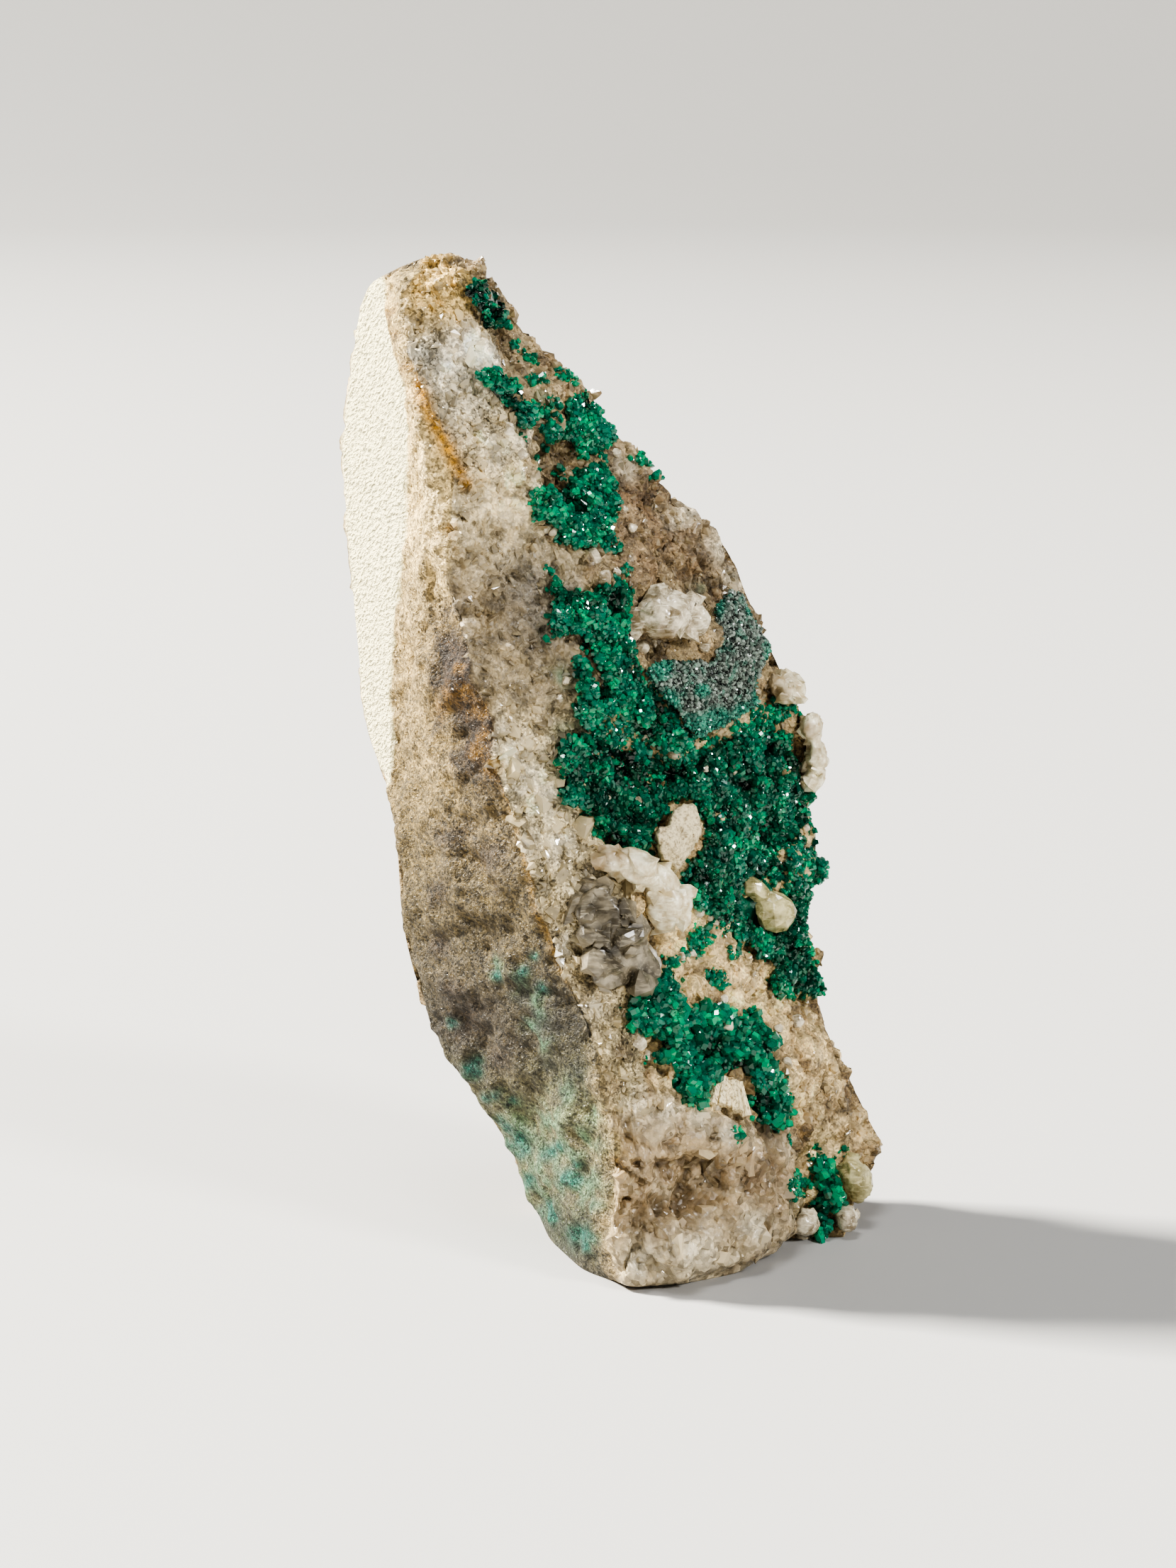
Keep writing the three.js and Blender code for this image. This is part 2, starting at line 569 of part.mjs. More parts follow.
// Flat pieces that lie on the rock, with their heights above it: a cleaved window of calcite, a chalky blade, and a
// patch of fine grey quartz crystals.
const LAYERS = {
  calcite_window: {
    height: 1,
    outline: [
      [812, 1290], [822, 1266], [846, 1252], [872, 1262], [936, 1356], [934, 1378], [900, 1392], [862, 1398],
      [840, 1384], [842, 1322], [818, 1314],
    ],
  },
  pale_blade: {
    height: 1.9,
    outline: [
      [952, 1141], [963, 1136], [980, 1136], [984, 1156], [987, 1172], [976, 1196], [958, 1226], [948, 1236],
      [934, 1208], [927, 1186], [929, 1165], [944, 1167],
    ],
  },
  grey_druse: {
    height: 0.5,
    outline: [
      [1010, 862], [1030, 832], [1046, 842], [1086, 916], [1066, 960], [1068, 996], [986, 1042], [912, 950],
      [930, 934], [1004, 934], [1018, 908],
    ],
  },
};

const BUNDLES = {
  fibre_bundle: {
    upper: [[1009, 1517], [1046, 1530]],
    lower: [[1000, 1562], [1060, 1582]],
    fibres: 6,
    radius: 0.5,
  },
};

// The green crusts, as traced outlines. Those that reach round the right edge end at a depth.
const CRUSTS = {
  dioptase_crust_top: {
    far: 2,
    outline: [
      [662, 409], [680, 399], [704, 410], [720, 459], [706, 468], [672, 438],
    ],
  },
  dioptase_crust_upper_left: {
    outline: [
      [674, 528], [690, 526], [716, 529], [742, 560], [751, 580], [746, 602], [732, 602], [724, 576],
      [706, 568],
    ],
  },
  dioptase_crust_upper_right: {
    far: 5,
    outline: [
      [812, 555], [826, 552], [856, 600], [856, 614], [842, 642], [812, 636], [798, 618], [776, 622],
      [772, 600], [800, 600], [797, 580],
    ],
  },
  dioptase_crust_upper_middle: {
    outline: [
      [845, 653], [858, 656], [870, 688], [858, 744], [814, 777], [798, 760], [756, 700], [768, 688],
      [800, 696], [814, 667],
    ],
  },
  dioptase_crust_strand: {
    spacing: 2.8,
    outline: [
      [776, 820], [790, 815], [800, 832], [836, 838], [850, 826], [884, 818], [882, 920], [900, 955],
      [938, 1004], [976, 1056], [958, 1064], [890, 1030], [864, 1000], [856, 964], [826, 890], [776, 898],
      [790, 852],
    ],
  },
  dioptase_crust_left_strand: {
    outline: [
      [808, 942], [820, 938], [842, 964], [836, 988], [840, 1010], [826, 1016], [818, 992], [820, 968],
    ],
  },
  dioptase_crust_main: {
    far: 9.6,
    spacing: 3.6,
    outline: [
      [798, 1044], [846, 1036], [880, 1060], [950, 1086], [984, 1082], [1004, 1058], [1050, 1034],
      [1108, 1044], [1130, 1076], [1134, 1104], [1150, 1122], [1166, 1188], [1140, 1250], [1142, 1290],
      [1130, 1330], [1162, 1388], [1156, 1404], [1098, 1396], [1094, 1364], [1064, 1330], [1018, 1306],
      [968, 1256], [1000, 1168], [992, 1122], [942, 1128], [914, 1180], [912, 1212], [868, 1180],
      [842, 1150], [800, 1126],
    ],
  },
  dioptase_crust_lower: {
    spacing: 2.9,
    outline: [
      [950, 1368], [957, 1396], [940, 1428], [978, 1442], [990, 1419], [1020, 1432], [1034, 1458],
      [1052, 1436], [1068, 1434], [1080, 1480], [1114, 1550], [1102, 1590], [1082, 1582], [1070, 1545],
      [1058, 1508], [1000, 1500], [990, 1554], [968, 1538], [966, 1498], [920, 1500], [944, 1458],
      [898, 1446], [888, 1412],
    ],
  },
  dioptase_crust_foot: {
    far: 9,
    outline: [
      [1146, 1640], [1168, 1634], [1176, 1668], [1174, 1700], [1164, 1712], [1170, 1746], [1152, 1748],
      [1146, 1700], [1156, 1672],
    ],
  },
};

const FINISHES = {
  rock: { color: 0xb9a588, roughness: 0.85, metalness: 0 },
  dioptase: { color: 0x0a7a58, roughness: 0.2, metalness: 0 },
  calcite: { color: 0xb5a995, roughness: 0.25, metalness: 0 },
  cream: { color: 0xe0d3b4, roughness: 0.6, metalness: 0 },
  druse: { color: 0x5d6b63, roughness: 0.4, metalness: 0 },
};
const PIECE_FINISHES = {
  calcite_cap: "cream",
  calcite_knobs: "cream",
  calcite_edge_knobs: "cream",
  cream_grain: "cream",
  pale_blade: "cream",
  fibre_bundle: "cream",
  grey_druse: "druse",
};

const specimen = new THREE.Group();

function addPiece(name, geometry, finish) {
  const mesh = new THREE.Mesh(
    geometry,
    new THREE.MeshStandardMaterial(FINISHES[finish]),
  );
  mesh.name = name;
  specimen.add(mesh);
}

addPiece("rock", rockSurface(0), "rock");

// Each piece is cut back from the rock, from the floor and from the pieces before it, which keep their swollen
// shapes clear.
const rockWithGap = solid(rockSurface(SEAT_GAP));
const aboveFloor = solid(
  new THREE.BoxGeometry(200, 200, 200).translate(0, 0, 100 + FLOOR_GAP),
);
const taken = [];
function addSeated(name, shapeAt, finish) {
  let made = shapeAt(0).subtract(rockWithGap).intersect(aboveFloor);
  for (const other of taken) made = made.subtract(other);
  addPiece(name, geometryOf(made), finish);
  taken.push(shapeAt(SEAT_GAP));
}

const SHAPES = [
  [GRAINS, grainsShape, "calcite"],
  [BUNDLES, bundleShape, "cream"],
  [LAYERS, layerShape, "calcite"],
  [CRUSTS, crustShape, "dioptase"],
];
for (const [pieces, shape, finish] of SHAPES)
  Object.entries(pieces).forEach(([name, piece], i) =>
    addSeated(
      name,
      (swelling) => shape(Array.isArray(piece) ? piece : { seed: 11 + i, ...piece }, swelling),
      PIECE_FINISHES[name] ?? finish,
    ),
  );

export default specimen;
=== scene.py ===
"""A dioptase specimen: a broken slab of vein rock with green dioptase crystals, calcite and quartz on it.

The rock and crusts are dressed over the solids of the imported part, in metres, +Z up, the front towards -Y.
Places that were traced in the photograph are [across, down] in its pixels.
"""

import itertools
import math

import bmesh
import bpy
import numpy as np
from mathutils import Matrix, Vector, bvhtree, noise


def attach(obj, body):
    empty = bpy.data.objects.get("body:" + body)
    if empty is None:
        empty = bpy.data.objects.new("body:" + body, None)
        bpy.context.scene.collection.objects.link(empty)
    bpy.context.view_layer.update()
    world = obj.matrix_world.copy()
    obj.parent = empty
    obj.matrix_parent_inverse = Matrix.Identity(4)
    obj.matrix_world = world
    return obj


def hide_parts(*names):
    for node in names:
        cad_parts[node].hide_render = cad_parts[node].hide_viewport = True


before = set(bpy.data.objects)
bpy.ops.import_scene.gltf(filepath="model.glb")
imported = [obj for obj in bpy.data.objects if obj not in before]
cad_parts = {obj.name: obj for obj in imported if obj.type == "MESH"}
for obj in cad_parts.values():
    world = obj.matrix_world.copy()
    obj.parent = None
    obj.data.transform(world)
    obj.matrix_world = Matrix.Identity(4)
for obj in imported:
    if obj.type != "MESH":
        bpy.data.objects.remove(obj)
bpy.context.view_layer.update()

# The view
# The specimen is seen from in front and a little above, as a camera on a stand sees an ornament on a table.
# The rock's zones were traced in this view, so the sections below look places up in it.
MM = 0.001
VIEW_DISTANCE = 340 * MM
VIEW_TILT = math.radians(12)
VIEW_AIM = Vector((-2.35, -1.2, 44.4)) * MM
LENS = 85
SENSOR = 36
PHOTO_WIDE, PHOTO_HIGH = 1659, 2212
PIXELS_PER_SLOPE = LENS / SENSOR * PHOTO_HIGH
SIGHT = Vector((0, math.cos(VIEW_TILT), -math.sin(VIEW_TILT)))
VIEW_UP = Vector((0, math.sin(VIEW_TILT), math.cos(VIEW_TILT)))
VIEW_RIGHT = Vector((1, 0, 0))
EYE = VIEW_AIM - VIEW_DISTANCE * SIGHT
PIXEL = VIEW_DISTANCE / PIXELS_PER_SLOPE
scene = bpy.context.scene


def added(name, data):
    """A new object of the scene, with the camera, light or mesh that it holds."""
    piece = bpy.data.objects.new(name, data)
    scene.collection.objects.link(piece)
    return piece


camera = added("camera", bpy.data.cameras.new("camera"))
camera.data.lens = LENS
camera.data.sensor_width = SENSOR
camera.data.clip_start = 0.01
camera.location = EYE
camera.rotation_euler = (math.pi / 2 - VIEW_TILT, 0, 0)
scene.camera = camera


def seen_at(points):
    """Where points, an array of x, y and z, are seen: their across and down in the photograph's pixels."""
    offsets = points - np.array(EYE)
    ahead = offsets @ np.array(SIGHT)
    across = PHOTO_WIDE / 2 + offsets[:, 0] / ahead * PIXELS_PER_SLOPE
    down = PHOTO_HIGH / 2 - offsets @ np.array(VIEW_UP) / ahead * PIXELS_PER_SLOPE
    return across, down


# Light and floor
# A pale floor that curves up into a pale wall far away, soft light from all round, a strong soft light from
# the left, a weaker one from the front and right that lights the crystals, and one from above.
FLOOR_SIDES = 64
FLOOR_RADIUS = 1.6
WALL_RADIUS = 1.2
WALL_TURNS = [math.radians(turn) for turn in range(10, 91, 10)]
floor_profile = [(0.4 * FLOOR_RADIUS, 0), (FLOOR_RADIUS, 0)] + [
    (FLOOR_RADIUS + WALL_RADIUS * math.sin(turn), WALL_RADIUS * (1 - math.cos(turn))) for turn in WALL_TURNS
]
floor_places = [
    (radius * math.cos(turn), radius * math.sin(turn), rise)
    for radius, rise in floor_profile
    for turn in [2 * math.pi * step / FLOOR_SIDES for step in range(FLOOR_SIDES)]
]
floor_faces = [tuple(range(FLOOR_SIDES))]
for ring, step in itertools.product(range(len(floor_profile) - 1), range(FLOOR_SIDES)):
    near, far = ring * FLOOR_SIDES, (ring + 1) * FLOOR_SIDES
    after = (step + 1) % FLOOR_SIDES
    floor_faces.append((near + step, far + step, far + after, near + after))
floor_mesh = bpy.data.meshes.new("floor")
floor_mesh.from_pydata(floor_places, [], floor_faces)
floor_mesh.shade_smooth()
floor = added("floor", floor_mesh)


def set_inputs(node, inputs):
    """Sets a node's inputs to values, or joins them to other nodes' outputs."""
    for name, value in inputs.items():
        if isinstance(value, bpy.types.NodeSocket):
            node.id_data.links.new(value, node.inputs[name])
        elif isinstance(value, np.ndarray):
            node.inputs[name].default_value = (*value, 1)
        else:
            node.inputs[name].default_value = value


floor_finish = bpy.data.materials.new("floor")
floor_finish.use_nodes = True
floor_shader = floor_finish.node_tree.nodes["Principled BSDF"]
set_inputs(floor_shader, {"Base Color": (0.4, 0.395, 0.385, 1), "Roughness": 0.7})
floor_mesh.materials.append(floor_finish)

world = bpy.data.worlds.new("studio")
world.use_nodes = True
set_inputs(world.node_tree.nodes["Background"], {"Color": (1, 1, 1, 1), "Strength": 0.1})
scene.world = world
scene.view_settings.look = "AgX - High Contrast"

LIGHT_DISTANCE = 2.2


def soft_light(name, azimuth, elevation, size, watts, colour=(1, 1, 1)):
    """A square light that faces the specimen, azimuth 0 being in front of it and 90 to its left."""
    turn = math.radians(azimuth)
    rise = math.radians(elevation)
    way = Vector((-math.sin(turn) * math.cos(rise), -math.cos(turn) * math.cos(rise), math.sin(rise)))
    light = bpy.data.lights.new(name, "AREA")
    light.size = size
    light.energy = watts
    light.color = colour
    holder = added(name, light)
    holder.location = VIEW_AIM + LIGHT_DISTANCE * way
    holder.rotation_euler = (-way).to_track_quat("-Z", "Y").to_euler()


soft_light("key", 104, 40, 0.3, 215, (1, 0.97, 0.9))
soft_light("fill", -50, 34, 0.35, 34)
soft_light("top", 20, 78, 0.6, 19)


# Rock
# The matrix is one broken piece of vein rock. At the far left is a flat joint face of cream stone, then come
# a fine brown side, a band of grey-beige calcite and a granular front, with coarse crystals at the foot.
SOFT_BEND, SHARP_BEND = 30, 60


def merged_copy(node, name, sharp=True):
    """A new object with a solid's mesh, its loose triangles joined and its sharp edges marked."""
    shape = bmesh.new()
    shape.from_mesh(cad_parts[node].data)
    bmesh.ops.remove_doubles(shape, verts=shape.verts, dist=0.001 * MM)
    nearly_flat = {"angle_face_threshold": math.radians(40), "angle_shape_threshold": math.radians(60)}
    bmesh.ops.join_triangles(shape, faces=shape.faces, **nearly_flat)
    crease = shape.edges.layers.float.new("crease_edge")
    for edge in shape.edges:
        bend = math.degrees(edge.calc_face_angle(0))
        edge[crease] = min(1, max(0, (bend - SOFT_BEND) / (SHARP_BEND - SOFT_BEND))) * sharp
    mesh = bpy.data.meshes.new(name)
    shape.to_mesh(mesh)
    shape.free()
    return added(name, mesh)


def made_plain(piece):
    """The piece, with its modifiers worked into a plain mesh."""
    evaluated = piece.evaluated_get(bpy.context.evaluated_depsgraph_get())
    mesh = bpy.data.meshes.new_from_object(evaluated)
    piece.modifiers.clear()
    piece.data = mesh
    return piece


def reworked(piece, kind, **settings):
    """The piece, with one modifier's work in its mesh."""
    modifier = piece.modifiers.new(kind, kind)
    for name, value in settings.items():
        setattr(modifier, name, value)
    return made_plain(piece)


def divided(piece, levels):
    """The piece, divided into finer faces that follow smooth curves."""
    return reworked(piece, "SUBSURF", levels=levels, render_levels=levels)


def vectors_of(values, name):
    """The vectors that a mesh keeps for its vertices under a name, as an array of x, y and z."""
    vectors = np.empty(len(values) * 3, dtype=np.float32)
    values.foreach_get(name, vectors)
    return vectors.reshape(-1, 3).astype(float)


def places_of(mesh):
    """Where the mesh's vertices are."""
    return vectors_of(mesh.vertices, "co")


def facings_of(mesh):
    """The way that the mesh's surface faces at each vertex."""
    return vectors_of(mesh.vertex_normals, "vector")


def move_to(mesh, places):
    """Puts the mesh's vertices at new places, none of them below the floor."""
    kept = places.copy()
    kept[:, 2] = np.maximum(kept[:, 2], 0)
    mesh.vertices.foreach_set("co", kept.astype(np.float32).ravel())
    mesh.update()


def keep_value(mesh, name, values):
    """Keeps one number, or one red, green and blue, for each vertex under a name."""
    if values.ndim == 1:
        mesh.attributes.new(name, "FLOAT", "POINT").data.foreach_set("value", values.astype(np.float32))
    else:
        shades = np.hstack([values, np.ones((len(values), 1))]).astype(np.float32)
        mesh.attributes.new(name, "FLOAT_COLOR", "POINT").data.foreach_set("color", shades.ravel())


def uneven(points, size, seed, octaves=3):
    """A smooth uneven number from about -1 to 1 at each point, with swells of about a size."""
    shift = Vector((seed * 7.3, seed * 3.1, seed * 5.7))
    return np.array([noise.fractal(Vector(point) / size + shift, 1, 2, octaves) for point in points])


# A cell of space finds its row of random numbers by these steps.
CHANCE_ROWS = 4093
CELL_STEPS = (877, 1931, 3467)


def grains(points, size, seed):
    """Parts space into uneven grains of about a size. Each point gets its distance from its grain's middle,
    its height on a flat face cut at random across the grain, both in sizes, and the grain's three random
    numbers."""
    table = np.random.default_rng(seed).random((CHANCE_ROWS, 6))
    corner = np.floor(points / size).astype(np.int64)
    nearest = np.full(len(points), np.inf)
    offsets, chances = np.zeros((2, len(points), 3))
    for step in itertools.product((-1, 0, 1), repeat=3):
        cell = corner + np.array(step)
        row = table[(cell @ np.array(CELL_STEPS)) % CHANCE_ROWS]
        offset = points / size - cell - row[:, :3]
        away = np.linalg.norm(offset, axis=1)
        nearer = away < nearest
        nearest = np.where(nearer, away, nearest)
        offsets[nearer] = offset[nearer]
        chances[nearer] = row[nearer, 3:]
    height = (offsets * (chances * 2 - 1)).sum(axis=1)
    return nearest, height, chances


def ramp(values, start, end):
    """0 at the start and before it, 1 from the end on, and smooth between them."""
    share = np.clip((values - start) / (end - start), 0, 1)
    return share * share * (3 - 2 * share)


def right_of(line):
    """How far right of a traced line each place of the rock is seen, in millimetres."""
    return (across - np.interp(down, [at[1] for at in line], [at[0] for at in line])) * PIXEL / MM


def seen_above(height, fade):
    """0 where the rock is seen below a height, rising to 1 over the pixels above it."""
    return ramp(height - down, 0, fade)


def seen_below(height, fade):
    """0 where the rock is seen above a height, rising to 1 over the pixels below it."""
    return ramp(down, height, height + fade)


MARK_FADE = 1.4


def spots(across, down, marks):
    """From 0 to 1, how far inside any of the marks each place is. A mark is its across, down and radius."""
    strength = np.zeros(len(across))
    for mark_across, mark_down, radius in marks:
        away = np.hypot(across - mark_across, down - mark_down) / radius
        strength = np.maximum(strength, np.exp(-MARK_FADE * away**2))
    return strength


def shade(red, green, blue):
    """A colour as the shaders read it, from the 0 to 255 of a picture."""
    values = np.array([red, green, blue]) / 255
    return np.where(values <= 0.04045, values / 12.92, ((values + 0.055) / 1.055) ** 2.4)


def laid_over(colours, strength, over):
    """The colours with another one laid over them as strongly as said, from 0 to 1."""
    return colours + strength[:, None] * (over - colours)


# The edges of the zones, as traced.
PALE_LINE = [
    (541, 390), (544, 433), (555, 494), (575, 564), (574, 649), (571, 760), (565, 810), (555, 897),
    (550, 978), (554, 1049), (550, 1108),
]
RIDGE_LINE = [
    (592, 385), (577, 402), (575, 440), (580, 500), (592, 548), (617, 592), (640, 650), (634, 740),
    (637, 852), (657, 908), (668, 965), (695, 1015), (694, 1077), (712, 1119), (747, 1224), (766, 1297),
    (789, 1365), (831, 1443), (850, 1533), (872, 1615), (868, 1668), (860, 1718), (870, 1790),
]
RIM_LINE = [
    (645, 380), (660, 398), (690, 470), (705, 560), (745, 650), (771, 733), (810, 790), (830, 860),
    (838, 940), (856, 964), (840, 1030), (800, 1040), (800, 1125), (840, 1160), (870, 1200), (900, 1330),
    (905, 1440), (905, 1530), (880, 1575),
]
PALE_END = 1112
FOOT_TOP, FOOT_RIGHT = 1575, 1128

rock = divided(merged_copy("rock", "rock_matrix"), 3)
stone_at = places_of(rock.data)
facings = facings_of(rock.data)
above_floor = stone_at[:, 2] / MM
across, down = seen_at(stone_at)
to_eye = np.array(EYE) - stone_at
facing = (facings * to_eye).sum(axis=1) / np.linalg.norm(to_eye, axis=1)
blur = uneven(stone_at, 3 * MM, 1)
lumps = uneven(stone_at, 1.8 * MM, 3)
seen = 1 - ramp(-facing - 0.05 * blur, -0.05, 0.06)
pale = ramp(0.12 * blur - right_of(PALE_LINE), 0, 0.15) * seen_above(PALE_END, 6) * seen
past_ridge = ramp(right_of(RIDGE_LINE) + 0.3 * blur, -0.1, 0.3) * seen
past_rim = ramp(right_of(RIM_LINE) + 1.5 * blur, -0.6, 0.8) * seen
foot = ramp(down + 16 * blur - FOOT_TOP, -12, 12) * past_ridge * ramp(FOOT_RIGHT - across, 0, 24)
front = past_rim * (1 - foot)
band = past_ridge * (1 - past_rim) * (1 - foot)
side = seen * (1 - past_ridge) * (1 - pale)
back = 1 - seen

PIT_MARKS = [
    (960, 1690, 26), (930, 1700, 24), (990, 1688, 26), (905, 1712, 18), (880, 1722, 14), (1010, 1670, 18),
    (935, 1655, 16), (1005, 1605, 12), (1000, 1640, 16), (945, 1620, 12), (880, 1690, 10), (900, 1640, 10),
]
LEDGE_MARKS = [
    (700, 585, 15), (716, 615, 16), (732, 645, 16), (748, 672, 15), (766, 698, 15), (784, 724, 15),
    (802, 750, 15), (820, 774, 14),
]
GLASSY_MARKS = [(690, 500, 34), (660, 480, 26), (720, 505, 24), (640, 500, 20)]
FIBRES_TOP = 1330


def smeared(marks, reach=9):
    """How far inside any of the marks each place of the rock is, their outlines uneven by up to the reach."""
    return spots(across + reach * lumps, down + reach * blur, marks)


# Its relief, in millimetres, zone by zone. The lowest part of the front is drawn out like fibres.
COARSE, MEDIUM, FINE = 2.6 * MM, 1.4 * MM, 0.8 * MM
_, coarse_face, _ = grains(stone_at, COARSE, 1)
from_middle, medium_face, medium_chance = grains(stone_at, MEDIUM, 2)
_, fine_face, fine_chance = grains(stone_at, FINE, 3)
_, block_face, _ = grains(stone_at, 7 * MM, 4)
from_lump, lump_face, _ = grains(stone_at, 3.6 * MM, 5)
fibre_zone = seen_below(FIBRES_TOP, 100)
swell = uneven(stone_at, 5 * MM, 2)
pocks = uneven(stone_at, 0.9 * MM, 8, 2)
height = 0.02 * lumps * pale
height += (0.8 * swell + 0.22 * lumps + 0.2 * pocks) * side
band_relief = 0.3 * swell + 0.5 * medium_face + 0.3 * fine_face + 0.4 * coarse_face
height += band_relief * band * (1 - 0.6 * smeared(GLASSY_MARKS))
height += (
    1.1 * swell + 0.5 * (0.6 - from_middle) + 0.5 * medium_face + 0.3 * fine_face + 0.5 * coarse_face
) * front
height += (1.8 * (0.4 - from_lump**2) + 0.9 * lump_face + 0.4 * coarse_face + 0.15 * medium_face) * foot
back_relief = 0.5 * swell + 0.35 * lumps + 0.8 * block_face + 0.25 * coarse_face + 0.1 * pocks
height += back_relief * back * ramp(-facing, 0.1, 0.5)
height += 0.4 * uneven(stone_at * (1, 1, 0.3), 0.9 * MM, 11) * front * fibre_zone
height -= 1.3 * foot * smeared(PIT_MARKS)
height += 0.9 * band * smeared(LEDGE_MARKS)
height *= ramp(above_floor, 0.2, 2.2)
move_to(rock.data, stone_at + facings * (height * MM)[:, None])

# The band is granular at its top and its bottom, and smooth and clear between.
CLEAR_TOP, CLEAR_END = 700, 960
granular = np.maximum(seen_above(CLEAR_TOP, 60), 0.7 * seen_below(CLEAR_END, 100)) + 0.3

# Where its stains and seams are.
PALE_SEAM_END = 1000
OCHRE_TOP, OCHRE_END = 900, 1420
DARK_TOP, DARK_END = 850, 1170
LIT_EDGE_TOP = 1440
from_ridge = right_of(RIDGE_LINE)
lit_edge = (1 - ramp(np.abs(from_ridge + 0.5 * blur), 0.2, 1.8)) * seen_below(LIT_EDGE_TOP, 120)
pale_seam = (1 - ramp(right_of(PALE_LINE), 0.3, 2.2)) * seen_above(PALE_SEAM_END, 250)
ochre_seam = ramp(from_ridge, -0.8, -0.1) * seen_below(OCHRE_TOP, 80) * seen_above(OCHRE_END, 60)
dark_seam = ramp(from_ridge + 0.9 * lumps, -5, -2.2) * seen_below(DARK_TOP, 80) * seen_above(DARK_END, 100)
rough = seen - pale
DARK_MARKS = [
    (680, 1030, 24), (664, 1000, 26), (648, 940, 26), (640, 965, 28), (632, 905, 22), (696, 1246, 7),
    (697, 1258, 6), (626, 870, 16), (618, 1020, 18), (640, 1075, 14), (690, 1210, 30), (640, 1180, 26),
    (620, 1260, 20), (655, 1440, 44), (700, 1490, 34), (640, 1400, 26), (615, 1330, 20),
]
OCHRE_MARKS = [
    (633, 745, 10), (640, 985, 20), (662, 975, 16), (676, 1000, 18), (686, 1035, 14), (676, 1060, 16),
    (690, 1085, 14), (560, 470, 14), (554, 440, 12), (572, 520, 12), (870, 1640, 12), (622, 1000, 16),
    (650, 940, 10),
]
RUST_MARKS = [
    (591, 544, 14), (596, 557, 16), (602, 572, 15), (609, 588, 13), (616, 602, 15), (624, 618, 17),
    (632, 634, 18), (640, 650, 17), (649, 666, 16), (658, 682, 14),
]
STAIN_MARKS = [
    (702, 1362, 14), (733, 1387, 15), (755, 1409, 15), (761, 1432, 15), (749, 1449, 14), (769, 1466, 15),
    (740, 1600, 36), (780, 1580, 34), (820, 1610, 40), (770, 1660, 38), (826, 1670, 32), (720, 1560, 20),
    (844, 1570, 24), (800, 1540, 26),
]
SMOKE_MARKS = [
    (817, 1513, 26), (789, 1547, 22), (770, 1500, 18), (840, 1530, 18), (735, 1400, 22), (760, 1440, 20),
]
TEAL_MARKS = [
    (638, 1440, 8), (668, 1505, 13), (675, 1512, 9), (690, 1543, 10), (702, 1540, 8), (708, 1580, 10),
    (718, 1590, 12), (730, 1610, 18), (740, 1625, 13), (775, 1627, 16), (790, 1618, 12), (803, 1660, 16),
    (812, 1668, 12), (775, 1705, 16), (782, 1715, 13), (822, 1742, 21), (838, 1745, 15), (828, 1760, 13),
    (750, 1664, 12), (812, 1640, 9), (846, 1701, 10), (755, 1350, 8), (740, 1370, 9), (765, 1395, 9),
    (700, 1375, 9), (720, 1555, 9),
]
GREY_MARKS = [(745, 825, 52), (765, 880, 50), (800, 840, 34), (818, 1070, 34)]
DUST_MARKS = [
    (800, 960, 26), (812, 1030, 28), (800, 1090, 30), (806, 870, 18), (842, 1130, 22), (1107, 1697, 26),
    (880, 1120, 18), (905, 1350, 16), (760, 560, 12), (1085, 900, 14), (990, 830, 16),
]
WHITE_MARKS = [
    (722, 1060, 30), (705, 1030, 18), (740, 1100, 30), (770, 1130, 30), (740, 1190, 24), (790, 1190, 26),
    (830, 1240, 20), (800, 1330, 20), (816, 1260, 14), (840, 1420, 16), (850, 1350, 18), (900, 1560, 26),
    (940, 1568, 24), (985, 1580, 22), (1020, 1600, 16), (905, 1775, 26), (985, 1760, 30), (1060, 1730, 26),
    (730, 620, 24), (700, 640, 22), (760, 690, 20), (1020, 770, 30), (1040, 810, 24), (960, 730, 22),
    (880, 655, 18),
]
BROWN_MARKS = [
    (910, 705, 30), (925, 735, 22), (885, 690, 20), (840, 1225, 10), (1200, 1560, 34), (1225, 1620, 20),
    (1060, 1660, 24), (1075, 1640, 16), (1090, 1600, 18), (880, 1480, 12), (870, 1530, 12),
]
PINK_MARKS = [(900, 700, 60), (880, 740, 46), (950, 760, 50), (980, 800, 40), (1000, 830, 30), (900, 800, 40)]


def by_height(tones):
    """Each place's tone, from rows that say how far down a tone is seen, and its red, green and blue."""
    downs = [tone[0] for tone in tones]
    shades = np.array([shade(*tone[1:]) for tone in tones])
    return np.stack([np.interp(down, downs, shades[:, part]) for part in range(3)], axis=1)


# The side is painted darker downwards: partly the stone's own tone, partly painted shade where it turns under
# towards the foot.
SIDE_TONES_AND_SHADE = [
    (420, 156, 136, 92), (650, 208, 184, 132), (900, 162, 139, 92), (1210, 100, 85, 52), (1450, 50, 45, 29),
    (1560, 98, 92, 62), (1640, 106, 102, 70), (1720, 58, 60, 38), (1790, 46, 46, 28),
]
BAND_TONES = [
    (380, 214, 182, 118), (440, 206, 178, 120), (500, 190, 184, 166), (690, 240, 220, 178),
    (840, 158, 142, 114), (980, 166, 150, 120), (1100, 222, 206, 168), (1400, 184, 168, 134),
    (1560, 190, 176, 140),
]
FRONT_TONES = [(640, 176, 156, 122), (860, 166, 148, 116), (1300, 234, 208, 158), (1700, 220, 196, 150)]
FOOT_TONES = [(1600, 190, 168, 134), (1700, 182, 160, 126), (1780, 204, 188, 156)]
fibre_patches = ramp(uneven(stone_at * (1, 1, 0.35), 1.6 * MM, 12), 0, 0.5)
